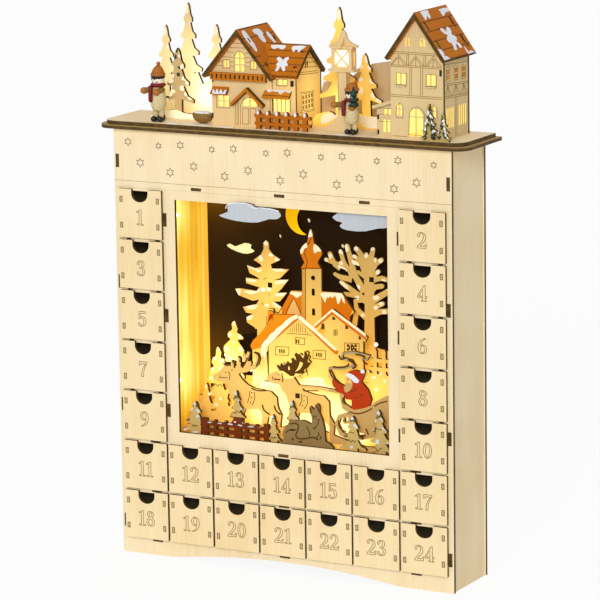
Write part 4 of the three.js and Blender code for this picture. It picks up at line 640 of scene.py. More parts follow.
# A row of thin star outlines, as the laser draws them on the fascia
def starTree():
    tree, given, made = newTree("starRow", [
        ("Count", "Int"), ("Pitch", "Float"), ("Radius", "Float"), ("Waist", "Float"), ("Points", "Int"),
        ("Line", "Float"), ("Seed", "Int"), ("Material", "Material")])
    take = given.outputs
    step = addNode(tree, "ShaderNodeCombineXYZ", {0: take["Pitch"]})
    row = addNode(tree, "GeometryNodeMeshLine", {"Count": take["Count"], "Offset": step})
    inner = addNode(tree, "ShaderNodeMath", {"operation": "MULTIPLY", 0: take["Radius"], 1: take["Waist"]})
    star = addNode(tree, "GeometryNodeCurveStar", {
        "Points": take["Points"], "Outer Radius": take["Radius"], "Inner Radius": inner})
    half = addNode(tree, "ShaderNodeMath", {"operation": "MULTIPLY", 0: take["Line"], 1: 0.5})
    profile = addNode(tree, "GeometryNodeCurvePrimitiveCircle", {"Radius": half, "Resolution": 4})
    line = addNode(tree, "GeometryNodeCurveToMesh", {"Curve": star, "Profile Curve": profile})
    turn = addNode(tree, "FunctionNodeRandomValue", {
        "data_type": "FLOAT", 2: math.pi / 6 - 0.04, 3: math.pi / 6 + 0.04, "Seed": take["Seed"]})
    upright = addNode(tree, "ShaderNodeCombineXYZ", {2: turn.outputs[1]})
    return setOut(tree, given, made, {
        "Points": row, "Instance": line, "Rotation": upright, "Scale": (1.0, 1.0, 0.4)})


# Snow caps on a row of pickets, each of its own height
def capTree():
    tree, given, made = newTree("picketCaps", [
        ("Count", "Int"), ("Pitch", "Float"), ("Radius", "Float"), ("Seed", "Int"), ("Material", "Material")])
    take = given.outputs
    step = addNode(tree, "ShaderNodeCombineXYZ", {0: take["Pitch"]})
    row = addNode(tree, "GeometryNodeMeshLine", {"Count": take["Count"], "Offset": step})
    ball = addNode(tree, "GeometryNodeMeshIcoSphere", {"Radius": take["Radius"], "Subdivisions": 3})
    size = addNode(tree, "FunctionNodeRandomValue", {
        "data_type": "FLOAT_VECTOR", 0: (0.85, 1.2, 0.9), 1: (1.1, 1.7, 1.0), "Seed": take["Seed"]})
    return setOut(tree, given, made, {"Points": row, "Instance": ball, "Scale": size})


# Drawer numbers: hollow serif figures, scorched as a thin outline. One unit is the height.
c = "corner"
digitWidth = {1: 0.42}
digitLines = {
    0: [[(.26, 1), (.43, .86), (.5, .5), (.43, .14), (.26, 0), (.09, .14), (.02, .5), (.09, .86)],
        [(.26, .93), (.34, .8), (.37, .5), (.34, .2), (.26, .07), (.18, .2), (.15, .5), (.18, .8)]],
    1: [[(.03, 0, c), (.41, 0, c), (.41, .05, c), (.29, .09, c), (.29, 1, c), (.23, 1, c), (.03, .87, c),
         (.03, .81, c), (.16, .86, c), (.16, .09, c), (.03, .05, c)]],
    2: [[(.02, 0, c), (.5, 0, c), (.53, .25, c), (.48, .25, c), (.43, .13, c), (.17, .13, c), (.31, .31),
         (.45, .5), (.49, .7), (.44, .9), (.27, 1), (.1, .95), (.03, .8), (.08, .7), (.15, .75), (.14, .86),
         (.25, .93), (.35, .86), (.36, .68), (.29, .48), (.15, .27), (.02, .09, c)]],
    3: [[(.04, .78), (.09, .94), (.25, 1), (.42, .94), (.46, .76), (.4, .6), (.31, .54, c), (.45, .46),
         (.5, .27), (.42, .07), (.24, 0), (.07, .05), (.02, .17), (.07, .26), (.14, .22), (.13, .12),
         (.24, .07), (.35, .14), (.37, .29), (.31, .45), (.18, .49, c), (.18, .56, c), (.29, .62), (.33, .77),
         (.29, .9), (.2, .93), (.13, .87), (.15, .77), (.1, .72)]],
    4: [[(.22, 0, c), (.51, 0, c), (.51, .05, c), (.44, .07, c), (.44, .22, c), (.54, .22, c), (.54, .31, c),
         (.44, .31, c), (.44, 1, c), (.37, 1, c), (.01, .31, c), (.01, .22, c), (.3, .22, c), (.3, .07, c),
         (.22, .05, c)],
        [(.1, .31, c), (.3, .31, c), (.3, .72, c)]],
    5: [[(.09, 1, c), (.46, 1, c), (.46, .87, c), (.16, .87, c), (.14, .6, c), (.26, .65), (.43, .57),
         (.5, .34), (.42, .09), (.24, 0), (.07, .05), (.02, .16), (.07, .24), (.13, .2), (.14, .11), (.24, .07),
         (.34, .15), (.37, .34), (.31, .52), (.2, .55), (.1, .47, c), (.06, .49, c)]],
    6: [[(.45, .96, c), (.43, 1, c), (.25, .92), (.09, .74), (.02, .45), (.04, .2), (.12, .05), (.26, 0),
         (.42, .07), (.5, .29), (.43, .5), (.3, .58), (.17, .52), (.21, .72), (.31, .87)],
        [(.26, .06), (.35, .13), (.37, .3), (.33, .46), (.26, .51), (.18, .44), (.16, .28), (.18, .13)]],
    7: [[(.04, 1, c), (.5, 1, c), (.5, .92, c), (.37, .64), (.29, .34), (.27, 0, c), (.14, 0, c), (.18, .34),
         (.28, .62), (.41, .86, c), (.13, .86, c), (.08, .75, c), (.03, .75, c)]],
    8: [[(.26, 1), (.41, .94), (.46, .77), (.36, .56), (.47, .42), (.5, .24), (.42, .06), (.26, 0), (.1, .06),
         (.02, .24), (.05, .42), (.16, .56), (.06, .77), (.11, .94)],
        [(.26, .93), (.33, .87), (.34, .73), (.27, .62), (.18, .72), (.19, .87)],
        [(.25, .49), (.36, .36), (.37, .2), (.26, .07), (.14, .2), (.15, .37)]],
}
digitLines[9] = [[(.52 - k[0], 1 - k[1], *k[2:]) for k in line] for line in digitLines[6]]

number = {"height": 12.6, "widen": 1.24, "gap": 0.05, "line": 0.5, "middle": 0.57}
tenonEnd = {"wide": 2.3, "high": 4.4, "left": 2.9, "right": 3.5, "rows": (0.215, 0.748), "line": 0.5}
front = {"pitchX": 43.0, "pitchZ": 42.5, "lowest": 14.0, "wide": 41.0, "high": 40.5, "proud": 3.0}


# Column and row of a number: 1 to 10 stand beside the window, the others below it.
def drawerPlace(value):
    if value <= 10:
        return (0 if value % 2 else 6), (value - 1) // 2
    return (value - 11) % 7, 5 + (value - 11) // 7


def drawerMarks(value):
    column, row = drawerPlace(value)
    x = (column - 3) * front["pitchX"]
    z = front["lowest"] + (6 - row) * front["pitchZ"]
    place = onFront(-front["proud"])
    marks = newMarks()
    figures = [int(figure) for figure in str(value)]
    widths = [digitWidth.get(figure, 0.54) for figure in figures]
    height = number["height"]
    total = (sum(widths) + number["gap"] * (len(figures) - 1)) * height * number["widen"]
    left = x - total / 2
    foot = z + front["high"] * (1 - number["middle"]) - height / 2
    for figure, width in zip(figures, widths):
        for line in digitLines[figure]:
            knots = [(left + k[0] * height * number["widen"], foot + k[1] * height, *k[2:]) for k in line]
            stroke(marks, smooth(knots, closed=True, steps=4), number["line"], place, 0, closed=True)
        left += (width + number["gap"]) * height * number["widen"]
    half, tall = tenonEnd["wide"] / 2, tenonEnd["high"] / 2
    for middle in (x - front["wide"] / 2 + tenonEnd["left"], x + front["wide"] / 2 - tenonEnd["right"]):
        for share in tenonEnd["rows"]:
            level = z + front["high"] * (1 - share)
            outline = box2(middle - half, middle + half, level - tall, level + tall)
            stroke(marks, outline, tenonEnd["line"], place, 2, closed=True)
            fill(marks, box2(middle - half + 0.2, middle + half - 0.2, level - tall + 0.2, level + tall - 0.2),
                 place, 1)
    makeMarks(f"number_{value:02d}", marks, [scorch, endGrain, starScorch], f"drawer_{value:02d}_body")


# Six-pointed stars of the fascia: height, radius, first star, pitch and how many
starRows = [
    (348.2, 3.5, -140.4, 49.5, 6), (346.5, 2.9, -111.5, 50, 6), (331.5, 3.9, -129.2, 50.5, 6),
    (325.2, 3.9, -101, 51.1, 5),
]
starLook = {"waist": 0.5, "points": 6, "line": 0.75}


def fasciaStars():
    tree = starTree()
    rows = []
    for i, (z, radius, first, pitch, count) in enumerate(starRows):
        row = grow("star_row", tree, {
            "Count": count, "Pitch": pitch * mm, "Radius": radius * mm, "Waist": starLook["waist"],
            "Points": starLook["points"], "Line": starLook["line"] * mm, "Seed": 5 + i, "Material": starScorch})
        rows.append(layOn(row, onFront(0), first, z))
    joinGrown("fascia_stars", rows)
    marks = newMarks()
    stroke(marks, [(-154, 315.9), (154, 315.9)], 0.25, onFront(0))
    makeMarks("fascia_line", marks, [scorch])


scorch = paint("laserScorch", "#8a6a3c", {"rough": 0.8, "bump": 0.1})       # the burnt line that a laser leaves
starScorch = paint("laserScorchedStars", "#5f4a28", {"rough": 0.8, "bump": 0.1})
endGrain = paint("scorchedEndGrain", "#cdb27c", {"rough": 0.8, "size": 1})
for value in range(1, 25):
    drawerMarks(value)
fasciaStars()
print("numbers and stars")


# Painted and engraved scene layers

# A closed prism of each outline, between two depths behind the front face
def prisms(outlines, near, far):
    mesh = bpy.data.meshes.new("cutter")
    shape = bmesh.new()
    for outline in outlines:
        front = [shape.verts.new(Vector((p[0], faceY + near, p[1])) * mm) for p in outline]
        back = [shape.verts.new(Vector((p[0], faceY + far, p[1])) * mm) for p in outline]
        shape.faces.new(front)
        shape.faces.new(list(reversed(back)))
        for i in range(len(front)):
            k = (i + 1) % len(front)
            shape.faces.new((front[k], front[i], back[i], back[k]))
    bmesh.ops.recalc_face_normals(shape, faces=shape.faces)
    shape.to_mesh(mesh)
    shape.free()
    return mesh


# The skin of a board's face inside the outlines, as a thin slab lifted off the face.
def faceSlab(node, depth, outlines, lift, thick):
    board = bpy.data.objects[node].data.copy()
    merged = bmesh.new()
    merged.from_mesh(board)
    bmesh.ops.remove_doubles(merged, verts=merged.verts, dist=0.001 * mm)
    merged.to_mesh(board)
    merged.free()
    source = plainObject("boardCopy", board)
    tool = plainObject("cutter", prisms(outlines, depth - 0.5, depth + thick))
    cut = source.modifiers.new("cut", "BOOLEAN")
    cut.operation, cut.solver, cut.object, cut.use_self = "INTERSECT", "EXACT", tool, True
    bpy.context.view_layer.update()
    seen = source.evaluated_get(bpy.context.evaluated_depsgraph_get())
    slab = bpy.data.meshes.new_from_object(seen)
    for vertex in slab.vertices:
        vertex.co.y -= lift * mm
    for helper in (source, tool):
        bpy.data.objects.remove(helper)
    return slab


# Paint on a board: each coat is its outlines, its material and how far it stands off.
def paintBoard(name, node, depth, coats):
    shape = bmesh.new()
    for index, (outlines, look, lift, thick) in enumerate(coats):
        slab = faceSlab(node, depth, outlines, lift, thick)
        before = len(shape.faces)
        shape.from_mesh(slab)
        shape.faces.ensure_lookup_table()
        for face in shape.faces[before:]:
            face.material_index = index
        bpy.data.meshes.remove(slab)
    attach(shapedObject(name, shape, [look for outlines, look, lift, thick in coats]), "cabinet")


# Dabs as x, z, reach across, reach up and turn
def dabs(spots, seed=1):
    return [dab(x, z, across, up, seed + i, 10, 0.16, turn) for i, (x, z, across, up, turn) in enumerate(spots)]


# Outlines with their corners rounded
def soft(outlines, steps):
    return [smooth(outline, closed=True, steps=steps) for outline in outlines]


# Thin boards laid on a layer, each its outline, between two depths
def plates(name, outlines, near, far, look):
    mesh = prisms(outlines, near, far)
    mesh.name = name
    mesh.materials.append(look)
    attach(plainObject(name, mesh), "cabinet")


# How far behind the cabinet's front face the boards of the scene and of the village stand
layerDepth = {"valance": -2.7, "foreground": 8, "sleigh": 17, "cottage": 27, "church": 36, "trees": 44,
              "sky": 51, "glowSheet": 59.05}
villageDepth = {"frontFirs": -0.6, "town": 3.5, "pickets": 5.8, "shed": 9, "chalet": 10, "lampPost": 14.2,
                "paintedFir": 30, "lampFirs": 37, "rear": 56.3}
endX = {"chalet": 10.5, "town": 145.6}         # where the end walls of the houses face right
coat = {"lift": 0.05, "thick": 0.2}
snowCoat = {"lift": 0.3, "thick": 0.5}
# Stains of the scene layers; those given lamps have the lamps' light painted on as a glow
layerPaint = {
    "orange": stained("#d67806", lamps=layerLamps, glow=0.35, tint="#ff9a30"),
    "barge": stained("#dc7404", lamps=layerLamps, glow=0.3, tint="#ff9a30"),
    "sideRoof": stained("#e08c10", lamps=layerLamps, glow=0.5, tint="#ffb848"),
    "towerSide": stained("#cf9a3c", lamps=layerLamps, glow=0.4),
    "gableFace": stained("#dcb468", lamps=layerLamps, glow=0.5),
    "antlerBrownAndShade": stained("#5c3706"),
    "litFir": stained("#e6bd5c", lamps=layerLamps + [(-62, 26, 165, 26, 0.5)], glow=0.7),
    "red": stained("#b8380a", lamps=layerLamps, glow=0.05, tint="#ff5020"),
    "reins": stained("#b09a6a", lamps=layerLamps, glow=0.1),
    "sleighBody": stained("#c9a262", lamps=layerLamps, glow=0.12),
    "fence": stained("#70300a"),
    "doe": stained("#8f7648"),
    "foreTop": stained("#6a6630"),
    "cloud": stained("#bdc3c9"),
    # yellow moon, with the lamps' light painted on as a glow round its middle
    "moon": stained("#ffd400", lamps=[(-6, 51, 288, 40, 0.5)], tint="#fff050"),
    "night": stained("#1b1004", gloss=0.08),
}
for name, look in layerPaint.items():
    materials[name] = plywood(name + "StainedPly", {**look, "growth": 0.3})
# Thick bluish-white snow with soft lumps, cream where lamps light it and greyer in the shade
snow = paint("snowPaint", "#eef1f6", {"bump": 0.5, "size": 2, "deep": 0.93})
litSnow = paint("warmLitSnowPaint", "#fff2cc", {
    "bump": 0.4, "size": 2, "deep": 0.95, "lamps": layerLamps, "glow": 0.6,
    "stops": [(0.0, "#6a5020"), (0.25, "#d8b060"), (0.55, "#ffe9a8"), (1.0, "#fff8dc")]})
shadeSnow = paint("shadedSnowPaint", "#dfe3ea", {"bump": 0.4, "size": 2, "deep": 0.9})
# Dark and lighter burnt lines, nearly black peg ends
engraving = paint("deepEngraving", "#5f3a0c", {"rough": 0.85, "bump": 0.1})
faintLine = paint("lightEngraving", "#9c7334", {"rough": 0.85, "bump": 0.1})
peg = paint("darkPegEnd", "#33200a", {"rough": 0.8})
# The lamps' light seen through the sky's holes, painted as a glowing pale yellow sheet, brightest before the
# lamps behind it
glowSheet = paint("warmGlowSheet", "#efe0a4", {
    "lamps": [(-68, 59, 254, 50, 0.5), (-2, 59, 274, 50, 0.5)],
    "stops": [(0.0, "#d8b450"), (0.4, "#f4dc88"), (0.8, "#fdefb0"), (1.0, "#fff8d8")]})


# One coat of a board's paint
def band(outlines, look, kind=coat):
    return outlines, look, kind["lift"], kind["thick"]


# Lines given with their widths; five points that end where they began are a box.
def drawLines(marks, lines, place, slot=0):
    for width, points in lines:
        closed = len(points) == 5 and points[0] == points[-1]
        path = smooth(points, steps=3) if len(points) > 2 and not closed else points
        stroke(marks, path, width, place, slot)


# Points of a circle
def around(x, z, radius, steps):
    return [(x + math.cos(k / steps * 2 * math.pi) * radius, z + math.sin(k / steps * 2 * math.pi) * radius)
            for k in range(steps)]


cloudRim = [
    (-48, 299.3), (-46.1, 302.7), (-39.4, 304.6), (-30, 304.9), (-25.1, 303.6), (-22.6, 301.6), (-14.5, 302.2),
    (-5.2, 301.7), (0.9, 300.5),
]


# Sky: the moon is yellow, and a lit cloud and three stars are open to a glowing sheet behind.
def skyPaint():
    paintBoard("moon_paint", "sky_panel", layerDepth["sky"], [
        band([around(-6, 288, 17, 24)], materials["moon"])])
    marks = newMarks()
    fill(marks, box2(-86, -50, 246, 263), onFront(layerDepth["glowSheet"]))
    fill(marks, box2(-36, 32, 259, 289), onFront(layerDepth["glowSheet"]))
    makeMarks("sky_glow", marks, [glowSheet])
    paintBoard("front_cloud_paint", "front_panel", layerDepth["valance"], [
        band([box2(-57, 6, 287, 308)], materials["cloud"])])
    rim = newMarks(0.12)
    stroke(rim, smooth(cloudRim, steps=3), 0.8, onFront(layerDepth["valance"]))
    makeMarks("front_cloud_rim", rim, [snow])


roofRight = [(18.1, 229.6), (40.3, 230.9), (46.9, 217.7), (44.2, 211.2), (44.9, 204.9), (17.7, 202.6)]
roofLeft = [(-19, 213.6), (-10.9, 226.3), (-0.2, 228.2), (-0.7, 201.1), (-27.2, 198.8), (-19.1, 207.3)]
dormer = [(-7.5, 221.4), (-1, 207.8), (-14.7, 207.6)]
dormerLeft = [(-10.1, 225.9), (-19.4, 207.2), (-15.2, 207.2), (-7.9, 221.6)]
churchDome = [(-1.2, 246.4), (-2.4, 265.6), (7.2, 281), (13.3, 273.8), (21, 267.4), (19.9, 248)]
churchSnow = [
    [(18.5, 228.6), (39, 229.4), (38.7, 226.8), (39.8, 221.1), (37.4, 223.2), (36.2, 226.4), (34.9, 221.6),
     (33, 220.5), (32, 224.2), (30.5, 226.9), (28.1, 224.6), (26.3, 226.1), (24.4, 224.3), (23.2, 225.6),
     (21.8, 220.5), (20.3, 222.5), (18.8, 224.9)],
    [(-10.6, 226.5), (-0.2, 227), (-0.6, 224.8), (-3.1, 223.1), (-5.3, 222.1), (-7, 223.8), (-10.2, 225)],
]
domeSnow = [
    [(9.1, 281), (6.3, 274), (8.8, 273.6), (11.1, 275.5), (10.9, 278.8)],
    [(4.6, 268.6), (-0.5, 263.2), (-1.3, 259.8), (1.1, 259.6), (2.8, 263.4), (5.8, 265.1)],
    [(12.8, 268.2), (18.1, 264.2), (18.1, 262.3), (15.2, 262.5), (14.2, 261.3), (11.9, 260.8), (11.3, 265.5)],
]
churchTowerDark = [(0.1, 247.2), (3.9, 247.4), (3.1, 201.4), (-0.7, 201.1)]
churchLines = [
    (0.5, [(3.9, 247.4), (3.1, 202.8)]),
    (0.6, [(7.5, 268.9), (4.5, 264.3), (3.2, 259), (5.6, 253.3), (3.8, 247.9)]),
    (0.5, [(4.2, 247.8), (17.4, 248.3)]), (0.5, [(-7.9, 221.6), (-14.7, 207.6), (-1, 207.8), (-7.5, 221.4)]),
    (0.7, [(9.2, 273.5), (7.5, 268.9), (5.8, 268.1)]),
]


def churchPaint():
    paintBoard("church_paint", "church_layer", layerDepth["church"], [
        band([roofRight, roofLeft, dormerLeft, churchDome], materials["orange"]),
        band([churchTowerDark], materials["towerSide"]),
        band([dormer], materials["gableFace"], {"lift": 0.12, "thick": 0.2}),
        band(soft(churchSnow + domeSnow, 2), litSnow, snowCoat),
    ])
    marks = newMarks(0.14)
    drawLines(marks, churchLines, onFront(layerDepth["church"]))
    makeMarks("church_lines", marks, [engraving])


cottageLines = [
    (0.45, [(-9.4, 194), (13.4, 194.4)]), (0.4, [(-6.5, 198), (-6.6, 195.2)]),
    (0.4, [(-4.6, 199.3), (-4.7, 195.1)]), (0.4, [(-2.6, 201.2), (-2.7, 195.3)]),
    (0.4, [(-0.5, 202.8), (-0.6, 195.4)]), (0.4, [(1.4, 203.2), (1.3, 195.2)]),
    (0.4, [(3.4, 202.8), (3.3, 195.4)]), (0.4, [(5.4, 201.9), (5.3, 195.4)]), (0.4, [(7.6, 200), (7.5, 195.3)]),
    (0.4, [(9.9, 197.3), (9.9, 195.2)]),
    (0.45, [(-20.2, 182), (-7.9, 182.4), (-8.3, 175.4), (-20.7, 175), (-20.2, 182)]),
    (0.45, [(-1.8, 191), (7.1, 191.2), (6.7, 185.8), (-2, 185.7), (-1.8, 191)]),
    (0.45, [(14.6, 182.1), (26.2, 182.4), (25.8, 175.2), (14.4, 175), (14.6, 182.1)]),
    (0.45, [(-27, 181.8), (-27.2, 154.8)]), (0.45, [(-38.3, 147.6), (-29.5, 152.3), (-23.1, 152.6)]),
    (0.45, [(43.5, 190.6), (56.9, 191.1), (56.7, 183.6), (43.4, 183.3), (43.5, 190.6)]),
    (0.45, [(-28.4, 206.8), (-28.1, 199)]), (0.45, [(-22.9, 207.2), (-23.1, 203.7)]),
    (0.5, [(33.9, 200.4), (36.9, 200.7), (36.9, 196.4), (33.9, 196.1), (33.9, 200.4)]),
    (0.5, [(35.4, 200.5), (35.4, 196.3)]), (0.4, [(33.9, 198.3), (36.9, 198.5)]),
]
cottageZig = [
    [(-62.5, 187.2), (-60.9, 188.4), (-59.6, 187.3), (-58, 188.5)],
    [(-64.3, 177.1), (-62.4, 178.3), (-60.8, 176.3), (-58.9, 178.1), (-56.8, 176.6), (-55.4, 178.2)],
    [(-76.2, 164.6), (-74.6, 163.6), (-73.3, 165.4), (-71.4, 164.2)],
    [(-81.6, 144.3), (-79.2, 143.4), (-77.6, 145.4), (-75.7, 143.1), (-73.5, 145.3), (-70.4, 143.2)],
    [(62.1, 159.9), (63.6, 159), (65.2, 160.2)],
]
farPanes = [(46.7, 188.6), (50.3, 188.9), (53.7, 189.2), (46.7, 185.4), (50.2, 185.7), (53.6, 186)]
nearBoards = [
    [(1.2, 209.8), (-33, 180.4), (-31.4, 176), (-27.6, 181.8), (1.4, 206.6)],
    [(1.2, 209.8), (37.7, 182.9), (36.6, 180.4), (34.5, 180.8), (1.4, 206.6)],
]
nearSnow = [
    [(0.4, 210.5), (-3.2, 208.9), (-7.2, 206.7), (-10.4, 204.1), (-14.4, 200.2), (-18.3, 197.7), (-20.8, 194.7),
     (-24.3, 192.3), (-28, 187.7), (-31.2, 184.6), (-33.4, 180.8), (-33.5, 175.1), (-32.3, 172.4),
     (-30.9, 176.1), (-30.4, 169.3), (-29, 174.8), (-28.5, 180.6), (-22.5, 186.3), (-18.5, 190.6),
     (-14.5, 194.8), (-8.1, 200.7), (-2.5, 205.7), (1.1, 207.7)],
    [(3.1, 209.8), (7.7, 206.6), (13.9, 202.3), (19.3, 198.1), (24.6, 194), (30, 189.3), (36.6, 184.9),
     (35, 183.7), (30, 186.9), (23.8, 191.5), (18.4, 195.7), (12.3, 199.7), (6.1, 204), (1.5, 207.5)],
]
farBoards = [
    [(32.7, 216.1), (16.2, 202), (17.4, 200.4), (32.7, 213.3)],
    [(32.7, 216.1), (63.3, 197.4), (63, 194.5), (32.7, 213.3)],
]
farSnow = [
    [(32.8, 217.8), (15.7, 202.8), (16.7, 202), (32.7, 215.7)],
    [(32.8, 217.8), (63, 199.8), (63.3, 197.4), (32.7, 215.7)],
]
brackets = [
    [(22.9, 204.8), (25.3, 205), (25.2, 200.5), (21.9, 199.9)],
    [(44.7, 207.3), (47.1, 205.7), (47.1, 202.4), (44.3, 202.1)],
    [(32.7, 211.9), (35.4, 210.6), (35.4, 208.9), (32.6, 208.7)],
    [(56.6, 197.9), (58.7, 196.4), (58.7, 194.7), (56.5, 194.5)],
]
cottagePanes = [
    (42.6, 58.4, 182, 192), (-20.5, -7.6, 174.8, 182.6), (-2.2, 7.3, 185.5, 191.4), (14.2, 26.4, 174.8, 182.6),
]
# The near cottage's side roof, its chimney and the wall under it, on boards behind the gable
sideRoof = [
    (-26.9, 207.8), (-3.3, 209.1), (-1, 206.4), (-28.9, 185.6), (-34.6, 179.5), (-44.2, 176.5), (-45.7, 179.9),
    (-43.2, 184.4), (-35.1, 192.2), (-30.3, 198.3),
]
sideChimney = [(-28.8, 210.6), (-23.7, 210.3), (-23.8, 206.5), (-29, 200.8)]
sideWall = [(-44.3, 178.5), (-31.2, 181.5), (-29.8, 148), (-44.6, 146)]
litFirs = [
    [(-58.6, 200), (-55.2, 193.5), (-56.3, 190.9), (-50.8, 187.7), (-50.6, 185.3), (-55.4, 184.6), (-53, 180.7),
     (-49.2, 175.5), (-51.1, 171.6), (-47.7, 167), (-67.2, 165.2), (-66.4, 170.2), (-68.7, 173.8),
     (-68.3, 178.7), (-62.4, 184.2), (-64.7, 186.5), (-64.2, 190.2), (-60.4, 193), (-61, 197.3)],
    [(-74.2, 177.2), (-71.2, 172.3), (-72, 168.5), (-68.3, 165.1), (-67.6, 161.5), (-64.6, 155.5),
     (-64.8, 147.4), (-83, 145.7), (-83.1, 152.6), (-82, 156.4), (-78.5, 160.5), (-80.5, 162.8), (-80, 165.9),
     (-76.6, 169.3), (-76.1, 174.3)],
]
litFirSnow = [
    (-58.4, 198, 1.4, 2.2, 0), (-62.4, 188.2, 2, 1.9, 10), (-53.4, 187.4, 2, 1.9, -10),
    (-65.6, 176.3, 2.2, 2.1, 8), (-52.8, 177, 2.3, 1.9, -8), (-59.6, 182.8, 1.3, 1, 0),
    (-62.7, 168, 2.3, 1.5, 0), (-51.6, 169, 2, 1.7, 0), (-74, 175.2, 1.2, 1.6, 0), (-77.6, 166.6, 1.8, 1.7, 0),
    (-70.2, 165.9, 1.8, 1.5, 0), (-79.6, 157.7, 1.8, 1.7, 0), (-71.9, 158.4, 1.8, 1.7, 0),
    (-80.4, 150.2, 1.8, 1.5, 0), (-69.4, 151.3, 2, 1.5, 0),
]
cottageSnow = [
    (-58.8, 196.4, 1.4, 2.3, 0.07), (-61.4, 187.6, 1.9, 2, 0.1), (-54.2, 187.5, 2.3, 2, -0.35),
    (-65.5, 180.8, 2.2, 2.3, 0.09), (-51.9, 182, 1.9, 2.3, 0.1), (-56.1, 173.8, 1.9, 1.4, 0.1),
    (-74.5, 175, 1.3, 2, 0.15), (-79.5, 168.2, 2.2, 1.8, 0.46), (-70.6, 168.2, 1.6, 1.4, 0.12),
    (-81.2, 161.5, 1.9, 1.7, 0.1), (-66.8, 158.6, 2.5, 1.8, 0.08), (-87.3, 142.3, 1.1, 2, 0.09),
    (-83.4, 136.2, 1.6, 1.7, -0.66), (-91.6, 130.4, 2.1, 1.5, 0.68), (-77.2, 127.4, 1.3, 1.4, 0.15),
    (-73, 132.9, 1.1, 1.5, 0.09), (65.3, 170, 1.2, 1.7, 0.08), (62.1, 164.1, 1.6, 1.4, 0.06),
    (69.8, 164.1, 1.9, 1.4, 0.1), (76, 168.2, 1.2, 1.4, 0.08), (72, 154.5, 1.8, 1.4, 0.11),
    (79.8, 162.2, 1.3, 1.6, 0.15),
]
cottageBank = [
    [(2.1, 153.6), (8.5, 157.7), (14.8, 159.3), (22.6, 159.4), (24.8, 155.7), (27.1, 153.8), (33.3, 151.5),
     (2.1, 151.4)],
    [(-38.3, 147.6), (-29.5, 152.3), (-15.2, 152.7), (-15.3, 148.4), (-38.3, 147.6)],
]
cottageDoor = [
    [(8.3, 165.5), (9.4, 159.9)], [(-0.1, 161.1), (2.2, 159.2), (5.4, 161.7)], [(-0.2, 158.3), (4.6, 158.3)],
]


def cottagePaint():
    depth = layerDepth["cottage"]
    paintBoard("cottage_paint", "cottage_layer", depth, [
        band(dabs(cottageSnow) + soft(cottageBank, 3), litSnow, snowCoat),
    ])
    plates("cottage_side_roof", [sideRoof, sideChimney], 30.05, 32.8, materials["sideRoof"])
    plates("cottage_side_wall", [sideWall], 31, 33.8, materials["lit"])
    plates("cottage_barge_boards", nearBoards + farBoards, 26.45, 27.2, materials["barge"])
    plates("cottage_roof_snow", soft(nearSnow, 2) + farSnow, 26.1, 27.1, litSnow)
    plates("lit_firs", soft(litFirs, 2), 26.2, 27.05, materials["litFir"])
    plates("lit_fir_snow", dabs(litFirSnow, 7), 25.9, 26.25, litSnow)
    # painted shade: dark brown plugs in the window holes
    plates("cottage_window_shade_plugs", [box2(*pane) for pane in cottagePanes], 27.4, 30.3, materials["antlerBrownAndShade"])
    marks = newMarks(0.2)
    drawLines(marks, cottageLines, onFront(depth))
    for line in cottageZig + cottageDoor:
        stroke(marks, line, 0.45, onFront(depth))
    for x, z in farPanes:
        fill(marks, box2(x - 1.1, x + 1.1, z - 1.1, z + 1.1), onFront(depth))
    for outline in brackets:
        fill(marks, outline, onFront(depth))
    makeMarks("cottage_lines", marks, [engraving])


# The hill behind the cottage is stained black like the sky
nightHill = [(-83, 151), (-46.8, 151), (-46.8, 191), (-62, 191), (-83, 156)]
firSnow = [
    (-37.3, 264.1, 2.4, 2.2, 0.08), (-42.1, 250.8, 2, 2.5, 0.1), (-32.3, 254.3, 2.3, 1.5, -0.27),
    (-26.3, 250.2, 2.8, 2.3, -0.45), (-50.1, 242.5, 5.8, 1.5, -0.32), (-43.9, 240.2, 2.9, 1, 0.46),
    (-25.8, 242.4, 5.8, 1.4, -0.07), (-51.6, 231.4, 5.5, 1.3, -0.05), (-23.5, 232.6, 6.3, 1.6, 0.29),
    (-64, 221.3, 2.7, 3.3, -0.41), (-52.6, 221.5, 5.5, 1.5, 0), (-46.3, 223.1, 3.1, 1.3, 0.55),
    (-23.3, 222, 5.7, 1.5, 0.18), (-51.2, 209.2, 5.2, 1.8, 0.21), (-28, 212.6, 3.9, 1.6, -0.34),
    (-23.9, 210.4, 1.9, 1.5, 0.05), (-53.9, 200, 3.4, 2.2, 0.33), (-34.9, 225.6, 2.2, 2, 0.05),
    (-37.3, 211.9, 2.4, 1.2, 0.08),
]
treeSnow = [
    (18.2, 254.3, 2.3, 1.3, -0.44), (22.5, 257.6, 1.9, 2.2, -0.44), (33.7, 247.8, 4.8, 1.8, -0.55),
    (32.4, 262.1, 2, 2.1, -0.53), (37.4, 265, 2.1, 3.2, 0.09), (32.6, 252.5, 1.8, 1.5, -0.46),
    (46, 265.7, 2.9, 1.7, -0.51), (45.1, 259, 2.2, 1.5, -0.46), (45.6, 253.5, 3.9, 1.6, -0.54),
    (55.5, 260.5, 1.6, 2.2, -0.52), (61.3, 266.8, 1.9, 1.9, 0.05), (63.6, 257.4, 1.1, 1.9, 0.09),
    (68.7, 257.1, 1.9, 2.2, 0.56), (65.9, 247.7, 2.1, 1.8, 0.55), (71.1, 241.1, 2.1, 1.6, 0.09),
    (34.8, 234.5, 4.6, 1.8, -0.63), (47.8, 234.1, 2.1, 1.9, -0.51), (46.7, 225.1, 1.9, 1.9, 0.1),
    (64, 226.5, 2.9, 2, 0.1), (68.4, 221.7, 2.2, 1.6, 0.42), (63.9, 218.1, 2.1, 1.8, 0.55),
    (71.2, 215.3, 2.1, 1.6, 0.09), (51.6, 211.1, 1.8, 1.6, 0.11), (73.4, 235.8, 1.2, 2.1, 0.08),
]
